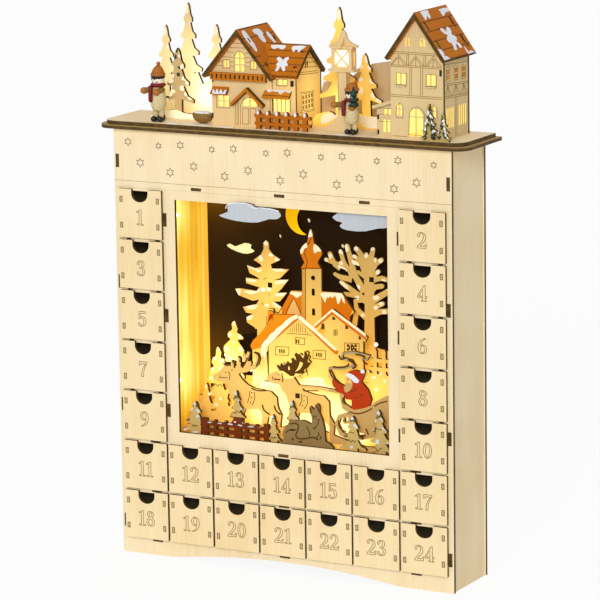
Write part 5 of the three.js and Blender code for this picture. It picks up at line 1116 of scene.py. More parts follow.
firLines = [
    [(-40.2, 233.4), (-38.5, 233.9), (-36.8, 235.1)], [(-37, 224.6), (-36.2, 223.6), (-34.5, 223.4)],
    [(-35, 221.8), (-34.2, 220.2)], [(-41.9, 213.8), (-40.6, 212)], [(-38.5, 211.8), (-35.2, 211.7)],
]


def treePaint():
    paintBoard("back_tree_paint", "back_trees", layerDepth["trees"], [
        band([nightHill], materials["night"]), band(dabs(firSnow + treeSnow, 40), litSnow, snowCoat)])
    marks = newMarks()
    for line in firLines:
        stroke(marks, smooth(line, steps=3), 0.5, onFront(layerDepth["trees"]))
    makeMarks("back_tree_lines", marks, [engraving])


sleighLines = [
    (0.5, [(-67.6, 155.3), (-67.7, 152.6)]), (0.5, [(-66.9, 153.7), (-63.9, 153.8), (-60.6, 154.3)]),
    (0.5, [(-59.6, 159.5), (-58.2, 156.4), (-58.7, 152.2)]), (1.2, [(-64.1, 165.8), (-60.6, 164.1)]),
    (1.5, [(-56.2, 169), (-53.9, 166.9), (-53.7, 163)]),
    (1.5, [(-50.1, 173.1), (-47.8, 171.5), (-48.3, 168.2)]), (1, [(-52.7, 169.1), (-51.3, 168.4)]),
    (1, [(-58.6, 165.8), (-57.1, 164.4)]), (1.3, [(-41.3, 172.6), (-43.7, 167.8), (-46.5, 163.7)]),
    (1.3, [(-35.2, 177.9), (-31.5, 176.4), (-30.6, 172.5), (-33.1, 165.9)]),
    (0.5, [(-40, 144.8), (-40, 140.6), (-42, 134.5)]), (0.5, [(-35.2, 144.2), (-35.2, 138.6), (-37.8, 132.8)]),
    (1.3, [(-28, 134.4), (-26.6, 130), (-21.2, 126.6)]),
    (1.3, [(-16.9, 134.8), (-15.3, 130.6), (-11.1, 127.7)]),
    (1, [(-37.9, 147.1), (-32.1, 145.9), (-24.3, 146.5)]), (0.5, [(-18.1, 159.2), (-17.9, 156.1)]),
    (1, [(-17, 157.2), (-14.1, 156.8), (-10.8, 157.2)]), (0.9, [(-9.7, 162.5), (-8.5, 159.2), (-8.9, 155.3)]),
    (0.6, [(8.5, 146.7), (8.7, 141.1), (6.4, 136.6)]), (0.6, [(13.6, 145.7), (14.1, 139.8), (10.8, 134.5)]),
    (0.9, [(10.3, 149.9), (24.4, 151)]), (0.8, [(59.2, 156.7), (56.7, 153.9), (51.4, 152.3)]),
    (0.8, [(57.4, 148.3), (60.4, 148.8)]), (0.8, [(61.9, 149.7), (65.2, 152.1)]),
    (1, [(52.4, 136.4), (58.5, 135.3), (65.8, 137), (73.2, 141)]),
    (1, [(75.2, 143.1), (80.5, 146.2), (87, 148.3)]), (1.4,
     [(34.5, 169.6), (36.5, 165), (40.1, 161.4), (44.1, 159)]), (1.1,
     [(46.8, 147.4), (46.9, 143.3), (51.2, 142), (54.5, 139.6)]), (1.1,
     [(42.5, 128.4), (42.6, 124.3), (44.8, 121), (49.5, 119.4)]), (1, [(46.2, 128), (48, 128.6)]),
    (1.4, [(67.3, 123.8), (69.7, 118.8)]), (1.2, [(61.5, 117.6), (67.2, 117.5)]), (1.5,
     [(37.8, 172.3), (44.3, 172.3), (50.9, 174), (52.5, 176.4)]),
    (1.5, [(43.5, 182.2), (45.6, 179.1), (49.7, 181)]), (1.5, [(58.7, 184.4), (64, 184.1), (66, 183.2)]), (1.8,
     [(51.8, 179.7), (56.6, 177.2), (58.6, 174.4), (55.7, 172.3)]),
    (1.6, [(65.6, 180.9), (66.3, 178.8), (69.6, 177.1)]),
]
sleighDots = [
    (-62.3, 158.4), (-56.1, 160.8), (-48.2, 159), (-37.8, 143.6), (-37.9, 139.5), (-39.1, 135.1),
    (-12.4, 161.3), (11.1, 145.5), (11, 141.4), (9.3, 137.1), (51.4, 163),
]
antlers = [
    (-14.3, 169), (-12.2, 168.9), (-10.7, 168.1), (-10.4, 170.3), (-9.3, 171.1), (-8.2, 169.9), (-7.2, 169.7),
    (-5.7, 170.4), (-4.6, 171.8), (-3.2, 172), (-2.2, 171.4), (-1.4, 172.1), (-0.4, 171.9), (0.3, 172.6),
    (0, 173.8), (-0.7, 175.7), (1.5, 176.2), (2.9, 175.4), (4.3, 174.2), (3.6, 177.4), (2.4, 179.5), (4, 180.4),
    (5.4, 179.4), (6.5, 179.8), (7.4, 180.2), (8.6, 179.1), (9.3, 177.9), (11, 176.8), (11.8, 179.4),
    (11.8, 182.6), (13.1, 183.1), (14.3, 181.5), (14.9, 179), (16, 178.8), (15.6, 177.2), (14.7, 175.2),
    (15, 173.6), (16.3, 174.4), (17.3, 173.8), (16.2, 171.8), (14.4, 169.7), (12.3, 167.9), (11.2, 166.3),
    (12.6, 165.7), (12.2, 165.1), (10.1, 163.8), (6.2, 163.6), (3.4, 163.6), (2.6, 162.6), (1.9, 161.2),
    (-1.6, 160.9), (-3.7, 162.3), (-5.9, 163.4), (-8, 164.5), (-10.8, 164.5), (-12.9, 166.3),
]
antlerGlowGround = [
    (-19.5, 174.4), (-11.5, 180.7), (-6.4, 184.8), (10.9, 184.1), (15, 184.5), (19.8, 172.3), (14.7, 162.9),
    (5.6, 160.6), (-0.2, 158.9), (-6.9, 158), (-11.8, 162), (-19.6, 168.7),
]
antlerGapGlow = [
    [(-3.3, 168.8), (-2.2, 168.9), (-1.5, 166.4), (-3.1, 165.7)],
    [(7.8, 173.9), (10.6, 172.9), (9.9, 170.6), (7.7, 167.5), (5.5, 166.1), (3, 164.9), (5.6, 168), (6.9, 171)],
]
antlerLines = [
    [(-9.6, 169.8), (-9, 167.3), (-8, 165.1)], [(-4.1, 170.9), (-4, 168.4), (-4.4, 165.5)],
    [(2.2, 175.3), (3.2, 174.1), (3.5, 172.2)], [(6.7, 173.8), (6.3, 171.2), (4.9, 168.2), (2, 165.1)],
    [(13.5, 178.9), (14.5, 175.2), (14.1, 171.9)],
]
coatArea = [
    (37.5, 162.1), (41.7, 161.6), (47.4, 157.5), (48.1, 152.7), (51.4, 152.4), (54.7, 156.3), (55.6, 160.8),
    (50.8, 167.8), (52.5, 170.9), (60.6, 172), (66.2, 169.2), (64.9, 161.7), (70.1, 157.7), (73.7, 149.2),
    (71.6, 143.1), (60.2, 139), (54.5, 139.2), (54.6, 146.3), (48, 145.3), (47.3, 150.4), (40.8, 152),
    (37.4, 156.1),
]
trimArea = [
    (49.3, 167.6), (51.6, 168.4), (55.7, 167.5), (58.9, 165.6), (61.7, 162.9), (60.4, 160.9), (57.2, 161),
    (54.8, 163.3), (51.6, 165.2), (49.1, 165.8),
]
reinsArea = [
    (31.7, 171.9), (34.6, 175.9), (41.2, 178.7), (41.2, 183.2), (49.4, 186.1), (70.5, 188), (74.5, 184.7),
    (70.3, 175.5), (62.3, 176.2), (58.1, 171.4), (41, 168.7), (33.7, 169.1),
]


def sleighPaint():
    depth = layerDepth["sleigh"]
    paintBoard("sleigh_paint", "sleigh_layer", depth, [
        band([[(34, 160), (97, 160), (97, 108), (34, 108)]], materials["sleighBody"]),
        # painted light: the board round the antlers glows like the lit scene seen between them
        band([antlerGlowGround], materials["lit"], {"lift": 0.06, "thick": 0.2}),
        band([reinsArea], materials["reins"], {"lift": 0.15, "thick": 0.2}),
        band(soft([coatArea], 2), materials["red"], {"lift": 0.2, "thick": 0.3}),
        band(soft([trimArea], 2) + [around(64.6, 171.3, 2.1, 12)], snow, {"lift": 0.35, "thick": 0.5}),
    ])
    marks = newMarks(0.28)
    drawLines(marks, sleighLines, onFront(depth))
    for x, z in sleighDots:
        fill(marks, around(x, z, 0.55, 8), onFront(depth))
    fill(marks, box2(2.9, 6.9, 143, 147), onFront(depth), 1)
    makeMarks("sleigh_lines", marks, [engraving, peg])
    plates("antlers", [antlers], 16.7, 17.4, materials["antlerBrownAndShade"])
    # painted light: glowing plates in the gaps between the antlers
    plates("antler_gap_glow", antlerGapGlow, 16.6, 17.3, materials["lit"])
    twigs = newMarks()
    for line in antlerLines:
        stroke(twigs, line, 0.55, onFront(16.7))
    makeMarks("antler_lines", twigs, [peg])


doeLines = [
    (1.3, [(2.3, 123), (7.3, 124.2), (10.3, 122.3), (8.9, 117.3), (7.6, 114.2), (9.6, 111.8), (15.4, 112),
     (19.9, 113.2), (23.6, 113.9), (28.5, 112.4)]),
    (1, [(17.6, 122.5), (19.8, 119.1), (20.5, 114.9)]), (1, [(28.5, 118.9), (28.8, 116.3), (26.1, 113.4)]),
    (1, [(31.2, 115.8), (29.8, 112.7)]), (1, [(-1.4, 115.1), (0.9, 117.6), (7.5, 118.6)]),
    (1.4, [(2.3, 118.3), (6.8, 118.4)]), (1.4, [(21.2, 138.3), (22.1, 133.5)]),
    (1.5, [(26.9, 141.1), (28.5, 138.6), (29.3, 135.7)]), (0.9, [(24.1, 132.4), (24.9, 129.3)]),
    (0.9, [(29.6, 130.2), (27.9, 125.5), (25.8, 122.3)]), (0.9, [(27.2, 129.6), (28.1, 128.9)]),
    (1.6, [(23.9, 122.2), (25.6, 121.1)]), (1.4, [(10, 108.8), (13.7, 109.4)]),
    (1.4, [(3.8, 111.2), (5.8, 109.9)]),
]
doeArea = [
    (-6, 121.8), (2.4, 126.4), (14.8, 128.3), (22.2, 126.1), (19.1, 136.9), (19.1, 141.4), (29.8, 143.2),
    (32.9, 130.9), (35.2, 119.9), (36.7, 111.2), (41.6, 109.4), (44.8, 106), (-8.8, 102.8),
]
fenceArea = [(-81.5, 123.4), (-55.6, 123.9), (-16.7, 124.2), (-17.4, 105.7), (-81.8, 105.4)]
fenceSnow = [
    (-78, 121.4, 3, 0.9, 0.03), (-73, 117.1, 2, 0.7, -0.05), (-68.2, 119.9, 1.1, 0.7, 0.09),
    (-63.6, 117.2, 2.2, 0.6, 0), (-58.6, 119.8, 1.1, 0.7, 0.09), (-53.5, 117.3, 2.5, 0.7, -0.04),
    (-49, 119.7, 1.1, 0.7, 0.09), (-44.4, 117.3, 2.2, 0.7, -0.05), (-40.1, 119.8, 1.1, 0.6, 0),
    (-34.3, 117.2, 2.8, 0.7, 0), (-30.3, 119.8, 1, 0.7, 0), (-25.9, 117.7, 1.9, 0.5, 0),
    (-20.6, 121.9, 3.1, 0.9, -0.03),
]
foreSnow = [
    (-87, 131.7, 1.1, 2, 0.09), (-90, 127.2, 1.3, 1.9, 0.08), (-83.7, 125.9, 1.7, 1.4, 0.06),
    (-93.1, 119.5, 1.7, 1.3, 0.06), (-84.4, 121, 1.8, 1, 0.11), (-96.1, 108.6, 1.9, 1.2, 0.1),
    (-86.7, 107.4, 2.9, 0.7, 0.1), (-48, 144.2, 1, 2.4, 0.1), (-52.3, 138.9, 1.6, 1.9, 0.06),
    (-44, 137.2, 2.1, 1.8, -0.34), (-54.5, 130.3, 2.8, 1.9, 0.48), (-41.4, 130.1, 2.6, 1.4, -0.24),
    (-40.8, 120.8, 1.5, 1.9, 0.07), (-13.8, 127.6, 1, 1.5, 0.1), (-16.4, 121.1, 0.8, 0.8, 0.12),
    (-9.8, 122.1, 1.4, 1.5, -0.69), (-9.2, 111.7, 1.2, 1.1, 0.08), (4.2, 140.5, 1, 1.8, 0.1),
    (0.5, 134.9, 1.3, 1.4, 0.08), (8.1, 133.6, 1.7, 1.1, -0.44), (-2.4, 127, 2.5, 1.4, 0.55),
    (9.9, 128.9, 1.4, 1, 0.07), (3.9, 140.3, 1.1, 1.5, 0.09), (8.7, 133.7, 1.4, 1, -0.37),
    (9.5, 128.6, 1.4, 0.9, -0.37), (59.6, 133.6, 1.2, 1.6, 0.17), (56.2, 128.7, 0.9, 1.9, 0.11),
    (62.6, 127.9, 1.9, 1.4, -0.37), (53.2, 121.7, 1.2, 1.6, 0.17), (63.4, 126.1, 1, 1, 0.1),
    (49.8, 110.6, 2.6, 1.3, 0.51), (58.7, 109.3, 1.7, 1, 0.12), (69.7, 112.3, 2.2, 1.8, -0.28),
    (66.9, 115.7, 0.9, 0.7, 0.11), (83.4, 140.3, 1.3, 2, 0.08), (79.7, 133.6, 1.8, 1.6, 0.11),
    (86.6, 135.4, 1.6, 1.2, -0.24), (77.2, 126, 2.4, 1.5, 0.52), (88.7, 127.9, 2.4, 1.5, -0.33),
    (74.3, 117.2, 1.9, 1.3, 0.44), (82.3, 116.2, 1.8, 1.9, 0.11), (91.2, 121.1, 1.2, 1.4, 0.17),
    (91.6, 114.5, 1.1, 2, 0.18),
]
foreZig = [
    [(-90.4, 111.8), (-89.3, 113.4), (-88.1, 111.8), (-86.9, 113.6), (-85.8, 112.3), (-84.5, 113.4)],
    [(-52.4, 126.4), (-50.8, 128), (-48.5, 127), (-46.9, 128.9), (-44.2, 127.9), (-42.6, 129.3)],
    [(-16, 109.1), (-14.2, 110.5), (-13.1, 109.2), (-11.5, 111.1), (-10, 109.9)],
    [(0.7, 126.6), (1.8, 125.7), (3.4, 127), (4.9, 126.2)],
    [(55.1, 114.1), (56.8, 115.4), (58, 113.3), (59.6, 115.3), (61.2, 113.8), (62.9, 115.3)],
    [(56.5, 121.2), (58.1, 122.1), (59.7, 121.1), (61.5, 122)],
    [(77.8, 110.5), (79.8, 111.5), (82.6, 108.4), (84.7, 110.9), (86.7, 111.5)],
    [(80, 126.3), (82, 127.2), (83.6, 125.9), (86.1, 127.3)],
]
# Dark olive tops of the small foreground firs: centre, tip and how far the stain comes down
foreFirs = [
    (-87, 133.4, 9), (-46.5, 146.3, 13), (-12.5, 129.4, 8), (5, 142.6, 12), (60, 135.4, 10), (86, 142.5, 12),
]


def foregroundPaint():
    depth = layerDepth["foreground"]
    tops = [[(x - 6, tip - down * 0.7), (x, tip + 2), (x + 6, tip - down * 0.7), (x, tip - down * 0.45)]
            for x, tip, down in foreFirs]
    sides = [[(x + side * 12, tip - down - 9), (x + side * 4.5, tip - down - 1), (x + side * 5, tip - down - 8)]
             for x, tip, down in foreFirs for side in (-1, 1)]
    paintBoard("foreground_paint", "foreground_layer", depth, [
        band(tops + sides, materials["foreTop"]),
        band([fenceArea], materials["fence"], {"lift": 0.1, "thick": 0.2}),
        band([doeArea], materials["doe"], {"lift": 0.15, "thick": 0.2}),
        band(dabs(foreSnow + fenceSnow, 90), shadeSnow, snowCoat),
    ])
    marks = newMarks(0.24)
    drawLines(marks, doeLines, onFront(depth))
    fill(marks, around(26.4, 131.7, 0.8, 8), onFront(depth))         # the doe's eye
    for line in foreZig:
        stroke(marks, line, 0.5, onFront(depth))
    makeMarks("foreground_lines", marks, [engraving])


# Warm white lamps of the light string: x, depth and height of each
beads = {"radius": 1.5, "places": [
    (-103.6, 15.6, 287.1), (-103.6, 13, 148.7), (-33.8, 32, 227.4), (-69.9, 32, 169.7), (76.6, 32, 158),
    (-46.5, 32, 159.2), (69.7, 32, 190.5),
]}
beadGlow = paint("warmLampBead", "#fff3c0", {
    "rough": 0.3, "lamps": [(0, 27, 200, 300, 4.5)], "stops": [(0.0, "#ffd870"), (1.0, "#fff2bc")]})


# The beads of the light string, each a small ball
def lampBeads(name, spec):
    shape = bmesh.new()
    for x, depth, z in spec["places"]:
        made = bmesh.ops.create_icosphere(shape, subdivisions=2, radius=spec["radius"] * mm)
        bmesh.ops.translate(shape, verts=made["verts"], vec=Vector((x, faceY + depth, z)) * mm)
    for face in shape.faces:
        face.smooth = True
    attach(shapedObject(name, shape, [beadGlow]), "cabinet")


skyPaint()
churchPaint()
cottagePaint()
treePaint()
sleighPaint()
foregroundPaint()
lampBeads("scene_lamps", beads)
print("scene layers painted")


# Village: roofs, walls, trees and figures

townSlope = math.atan2(37, 26.5)
chaletSlope = math.atan2(38.5, 32.5)
wingSlope = math.atan2(22.8, 25)
onTownRoof = onPlane((122.6, 0, 466), (math.cos(townSlope), 0, -math.sin(townSlope)), (0, 1, 0))
onChaletRoof = onPlane((-40, 0, 444.5), (math.cos(chaletSlope), 0, -math.sin(chaletSlope)), (0, 1, 0))
onWingRoof = onPlane((0, 33, 431.5), (1, 0, 0), (0, -math.cos(wingSlope), -math.sin(wingSlope)))
onLeftAwning = onPlane((0, 10.5, plateTop + 32.4), (1, 0, 0), (0, -6.5, -6))
onRightAwning = onPlane((0, 10.5, plateTop + 31.6), (1, 0, 0), (0, -6.5, -5.8))

townSlots = [
    [(12.2, 3.6), (17.3, 6.5)], [(14.7, 48.9), (20.3, 50.1)], [(30.5, 4.8), (36, 6)],
    [(33.5, 49.7), (38.7, 50.3)],
]
townSnow = [
    [(0.2, 9.5), (1.1, 21.3), (3.1, 20.6), (7.2, 19.7), (8.3, 16.7), (5.1, 15.4), (8.7, 10.8), (8.1, 9),
     (4, 9.4)],
    [(2.7, 39.9), (3.1, 54.8), (6.1, 54.2), (6.5, 50.7), (5.6, 50.2), (7.2, 47), (6.3, 46.4), (9, 42),
     (8.4, 39.9), (5.1, 40.3)],
    [(18.6, 23.4), (18.7, 26.3), (21, 28.7), (22.7, 30.6), (19, 33.6), (18.8, 36.5), (20.5, 37.9), (23.1, 37.6),
     (25.6, 34.9), (27.8, 38.8), (29.7, 39.4), (31.7, 36.9), (32.6, 35.3), (34.3, 37.8), (37.4, 39.1),
     (38.5, 37.3), (37.9, 35.1), (33.7, 33.9), (35.7, 30.9), (38.9, 28.7), (39.3, 26), (37.3, 25.5),
     (33.4, 27.4), (31.4, 24.1), (28.6, 23.4), (26.6, 25.9), (25.5, 28.7), (23.8, 25.3), (20.8, 23.2)],
    [(34.3, 0.2), (35.5, 4.4), (39.7, 5), (41.2, 3.1), (42.4, 7.3), (45.6, 9.1), (46.5, 7.5), (45.4, -0.8),
     (40.2, -0.1), (35.7, -0.3)],
    [(38.2, 42.3), (38.9, 43.1), (43.6, 44.4), (42.5, 49.2), (44.4, 52.1), (44.8, 55.1), (48.8, 55.1),
     (49.4, 53), (48.1, 42.3), (43.2, 41.9)],
]
chaletSnow = [
    [(2.5, 11.6), (2.9, 15.4), (6.6, 15.9), (11, 15.8), (13.6, 15.5), (17.1, 15.6), (22.8, 13.1), (22.9, 10.8),
     (17.1, 9.9), (13, 9), (8.2, 9.1), (4.9, 9.9)],
    [(4, 27.7), (3.5, 33.3), (4.4, 38), (9.2, 39.4), (10.6, 37), (15.7, 35.9), (17.5, 33.1), (16.3, 30.9),
     (12.2, 30), (8.7, 29.9), (7.4, 27.2)],
    [(8.3, 45.5), (9.2, 48.2), (13.3, 49), (17.6, 48.2), (19.4, 48.9), (19.9, 46.1), (15.7, 44.7),
     (11.6, 43.8)],
]
chaletSlots = [[(10, 12), (14.1, 13.4)], [(12.7, 51.2), (16.8, 52.1)], [(34.5, 12), (38.5, 12.9)]]
wingSnow = [
    [(-21.6, 2.8), (-8.7, 2.5), (-8.8, 5.2), (-10.5, 7), (-12.9, 5.9), (-15.1, 5.1), (-16.9, 6.6),
     (-19.4, 6.3)],
    [(-1.9, 2.8), (9.6, 2), (6.9, 6), (5.8, 9.3), (3.4, 6.3), (1.9, 6.4), (0.8, 8.7), (-1.2, 6.6)],
    [(-11.1, 15.4), (-9, 14.8), (-6.2, 16.9), (-4.9, 18.2), (-4.1, 15.4), (-1.7, 14.3), (-0.5, 16.1),
     (-1.4, 19.3), (1, 22.3), (0.7, 23.7), (-1, 24.3), (0.9, 28.2), (-1.2, 28.8), (-4.3, 24.9), (-5.4, 25),
     (-5.6, 28.7), (-8.1, 29.3), (-7.7, 25.2), (-9.5, 22.6), (-8.6, 19.8), (-11.2, 17.2)],
]
wingSlots = [[(6.1, 9.3), (8.2, 6.4)], [(6.2, 25.6), (8.2, 22.8)]]
awningLeftSnow = [
    (-62.6, 8.1), (-63.4, 5), (-62.4, 4.5), (-59.8, 7.9), (-60.1, 4.3), (-59.3, 3.8), (-56.5, 7.7),
    (-56.4, 4.5), (-55.4, 4), (-52.7, 7.9), (-52.4, 4.7), (-51, 4.1), (-48.9, 5.4), (-48.3, 8.9), (-51.2, 8.7),
    (-54.4, 8.5), (-58.3, 8.7), (-61, 8.9),
]
awningRightSnow = [
    (-15.5, 0.7), (-14.3, -0.3), (8, 0.4), (8.1, 2.7), (4.7, 2), (2, 1.3), (0.1, 2.3), (-0.6, 4.6), (-2.4, 3.8),
    (-4.8, 1.7), (-7.9, 2), (-9.7, 1.4), (-11.4, 3.1), (-13.1, 2.8),
]


# Fields of tile ends on the roofs: middle along and down, columns, rows, their gap, left limit and its lean
tileFields = {
    "town": (28, 26.6, 20, 5, 8.7, -99, 0), "townEaves": (28, 45.1, 20, 1, 1, -99, 0),
    "chaletTop": (31, 9, 19, 1, 1, -99, 0), "chalet": (8.7, 31.5, 3, 4, 9, -99, 0),
    "wing": (-6.3, 17.3, 14, 4, 7.1, -11.7, 0.56), "wingEaves": (1, 33.4, 9, 1, 1, -99, 0),
    "awningLeft": (-57.5, 5.6, 7, 1, 1, -99, 0), "awningRight": (-5, 5.4, 11, 1, 1, -99, 0),
}
tileLook = {"pitch": 2.75, "awningPitch": 2.1, "line": 0.62, "seed": 11}


def tileField(name, tree, place):
    along, down, columns, rows, gap, left, lean = tileFields[name]
    pitch = tileLook["awningPitch"] if name.startswith("awning") else tileLook["pitch"]
    field = grow(name, tree, {
        "Columns": columns, "Rows": rows, "Pitch": pitch * mm, "Row gap": gap * mm, "Left end": left * mm,
        "Lean": lean, "Line": tileLook["line"] * mm, "Seed": tileLook["seed"], "Material": peg})
    if place in (onTownRoof, onChaletRoof):       # measured down the slope first
        return layOn(field, lambda x, y, lift: place(y, x, lift), along, down)
    return layOn(field, place, along, down)


def roofMarks():
    lines, white = newMarks(0.1), newMarks(0.4)
    tree = tileTree()
    roofs = {"town": onTownRoof, "townEaves": onTownRoof, "chaletTop": onChaletRoof, "chalet": onChaletRoof,
             "wing": onWingRoof, "wingEaves": onWingRoof, "awningLeft": onLeftAwning,
             "awningRight": onRightAwning}
    joinGrown("roof_tiles", [tileField(name, tree, place) for name, place in roofs.items()])
    for start, end in townSlots:
        down = (start[0] + end[0]) / 2
        depth = (start[1] + end[1]) / 2
        stroke(lines, [(down - 2.7, depth), (down + 2.7, depth)], 1.7, onTownRoof)
    for outline in townSnow[:3]:
        fill(white, [(max(0.8, p[0]), p[1]) for p in smooth(
            [(min(p[0], 44.9), min(p[1], 55.6)) for p in outline], True, 2)], onTownRoof)
    for outline in townSnow[3:]:
        fill(white, [(min(p[0], 44.9), max(0.1, min(p[1], 55.8))) for p in outline], onTownRoof)
    for outline in chaletSnow:
        fill(white, smooth(outline, True, 2), onChaletRoof)
    lines["lift"] = 0.55
    for start, end in chaletSlots:
        stroke(lines, [start, (end[0], start[1])], 1.6, onChaletRoof)
    lines["lift"] = 0.1
    for start, end in wingSlots:
        level = (start[1] + end[1]) / 2
        stroke(lines, [(start[0], level), (end[0] + 1.6, level)], 1.5, onWingRoof)
    stroke(lines, [(0.6, 8), (0.6, 55)], 0.8, onChaletRoof)
    stroke(lines, [(-27, 0.6), (12.6, 0.6)], 0.8, onWingRoof)
    for outline in wingSnow:
        fill(white, smooth(outline, True, 2), onWingRoof)
    fill(white, [(min(max(p[0], -64.6), -50.4), p[1]) for p in awningLeftSnow], onLeftAwning)
    fill(white, [(min(max(p[0], -16.6), 6.9), max(0.3, p[1])) for p in awningRightSnow], onRightAwning)
    makeMarks("roof_lines", lines, [peg])
    makeMarks("roof_snow", white, [snow], thick=0.36)


chaletFront = [
    [(-43.2, 436.3), (-38.8, 436.4)], [(-46, 432.7), (-36.1, 432.8)], [(-49.3, 428.9), (-33.8, 429.2)],
    [(-53, 425.2), (-45, 425.2)], [(-34.3, 425.2), (-29.9, 425.1)], [(-55.8, 421.2), (-45.1, 421.2)],
    [(-34.4, 421.5), (-27.2, 421.4)], [(-59.5, 417.4), (-55.5, 417.4)], [(-48.7, 417.3), (-45.2, 417.4)],
    [(-34.4, 417.6), (-30.1, 417.7)], [(-24.2, 417.7), (-23.4, 417.7)], [(-62.6, 413.9), (-55.6, 414.1)],
    [(-48.8, 414.1), (-45.2, 414)], [(-34.5, 414.1), (-30.2, 414.1)], [(-24, 414.1), (-21.5, 414.1)],
    [(-55.3, 418.8), (-48.7, 419), (-49, 412.2), (-55.6, 412.1), (-55.3, 418.8)],
    [(-29.9, 419.3), (-23.7, 419.3), (-24, 412), (-30.2, 412), (-29.9, 419.3)],
    [(-44.9, 409.4), (-44.4, 423.7), (-39.8, 426.7), (-34.9, 423.8), (-35.2, 409.7)],
    [(-61.6, 388.7), (-62, 379.5), (-49.8, 379.6), (-49.6, 388.5)],
    [(-40, 366.5), (-39.5, 383.1), (-37, 387.4), (-31.4, 389.6), (-25.9, 388), (-23.2, 383.3), (-23.3, 378.7)],
    [(-37.7, 380.4), (-32.3, 380.5), (-32.7, 367.5), (-38.1, 367.4), (-37.7, 380.4)],
    [(-30.8, 380.6), (-25.9, 380.7), (-26.1, 378.6)], [(-30.7, 380.6), (-31.1, 367.6)],
    [(-44.3, 384.2), (-44.8, 365.9)], [(-42.7, 385.3), (-43.2, 366)], [(-41.3, 386.1), (-41.9, 366.1)],
    [(-20.8, 385.8), (-20.9, 379.9)], [(-12.1, 388.4), (-12.3, 379.3)], [(6, 388.7), (5.8, 379.7)],
    [(-6.3, 405.3), (3.4, 405.5), (3.1, 400.5), (-6.4, 400.3), (-6.3, 405.3)],
]
chaletTabs = [
    [(6.5, 404.9), (9.4, 404.9), (9.3, 400.2), (6.4, 400.1)], [(-65.7, 401.6), (-64.3, 401.6), (-64.3, 400.2),
     (-65.7, 400.2)], [(-66.1, 375), (-64.8, 375.1), (-64.9, 370.7), (-66.2, 370.7)],
]
chaletEnd = [
    [(19.3, 394.3), (43.5, 392.8)], [(18.8, 378.2), (43.3, 376.7)],
    [(21.4, 393), (41.2, 391.8), (41.2, 378.1), (21, 379.3), (21.4, 393)],
    [(20, 418.2), (47.4, 415.7)], [(15.4, 410.8), (48.4, 408.4)], [(15.4, 409.1), (49.5, 406.7)],
    [(27.7, 418.5), (32.7, 418.2), (32.6, 413.3), (27.6, 413.5), (27.7, 418.5)],
    [(23.5, 421.6), (44.3, 419.8)], [(17, 414.8), (48.2, 411.9)], [(15.5, 413.2), (33.3, 424.2), (49.9, 410.3)],
]
townFront = [
    [(94.3, 434.1), (141.8, 433.5)], [(94.3, 432.7), (143.7, 432.1)], [(94.2, 423.3), (144.5, 423.4)],
    [(94.2, 422.1), (144.9, 422.1)], [(93.9, 399.8), (144.6, 399.6)], [(93.9, 398.4), (144.5, 398.2)],
    [(114.1, 432.5), (113.7, 423.6)], [(115.7, 432.5), (115.4, 423.5)], [(129, 432.3), (128.7, 423.4)],
    [(130.6, 432.2), (130.3, 423.3)], [(116.7, 421.6), (116.3, 400.3)], [(118.2, 421.6), (117.8, 400.2)],
    [(126, 421.6), (125.6, 400.3)], [(127.8, 421.6), (127.5, 400.3)],
    [(98.9, 423.5), (106.9, 431.5), (113.7, 423.8)], [(100.9, 423.6), (106.9, 429.7), (111.7, 423.8)],
    [(106.9, 429.7), (106.7, 423.7)], [(115.2, 423.6), (121.9, 431.5), (128.8, 423.6)],
    [(117, 423.6), (121.9, 429.7), (126.7, 423.6)], [(121.9, 429.7), (121.7, 423.6)],
    [(130.3, 423.4), (137, 431.7), (144.3, 423.5)], [(132.1, 423.4), (137, 429.8), (142, 423.5)],
    [(137, 429.8), (136.8, 423.5)],
    [(105, 417.1), (114, 416.9), (113.5, 407.7), (104.7, 407.9), (105, 417.1)],
    [(131.1, 417.1), (140, 417.1), (139.6, 407.9), (130.8, 407.9), (131.1, 417.1)],
    [(104.2, 381.6), (104.5, 390.7), (107.3, 393.5), (110.5, 390.6), (110.3, 381.7), (104.2, 381.8)],
    [(134.7, 386.6), (134.8, 390.6), (137.1, 393.4), (140, 390.6), (140.2, 382.7)],
    [(115, 368.7), (115.9, 385.6), (118, 389.3), (122.4, 391.3), (126.8, 389.5), (129.1, 386), (128.8, 377.8)],
    [(115, 368.7), (126.6, 368.7)], [(101, 367.1), (113.8, 367.1)], [(131.2, 366.5), (144.2, 366.9)],
]
townTab = [(142.3, 421.3), (144.5, 421.2), (144.4, 416.2), (142.3, 416.3)]
townEnd = [
    [(4.8, 410), (48.9, 407.2)], [(4.8, 408.5), (48.9, 405.8)], [(4.6, 400.1), (48.7, 397.5)],
    [(4.6, 398.8), (48.7, 396.1)], [(25.1, 397.5), (24.7, 366.9)], [(27.6, 397.3), (27.2, 366.7)],
    [(5, 425.3), (49.1, 422.8)], [(5.3, 400.4), (11.6, 408), (18.3, 399.5)], [(11.6, 408), (11.7, 399.9)],
    [(8.4, 400.2), (11.6, 408)], [(11.6, 408), (14.9, 399.7)], [(18.3, 399.5), (26, 407.1), (33.4, 398.6)],
    [(26, 407.1), (25.9, 399.1)], [(22.1, 399.3), (26, 407.1), (29.6, 398.9)],
    [(33.4, 398.6), (40.2, 406.3), (47.4, 397.6)], [(40.2, 406.3), (40.4, 398.1)],
    [(36.9, 398.3), (40.2, 406.3), (43.9, 397.8)],
    [(8.2, 411.9), (8.8, 421.8), (12.1, 423.2), (15.6, 421.2), (15.5, 411.6)],
    [(7.5, 411.7), (16.4, 411.3)],
    [(22.3, 411.2), (22.7, 421.1), (26.2, 422.3), (29.6, 420.6), (29.5, 410.9)],
    [(21.5, 411), (30.3, 410.6)],
    [(36.1, 410.5), (36.5, 420.3), (40.1, 421.5), (43.5, 419.8), (43.6, 410.1)],
    [(35.3, 410.3), (44.4, 409.8)],
]


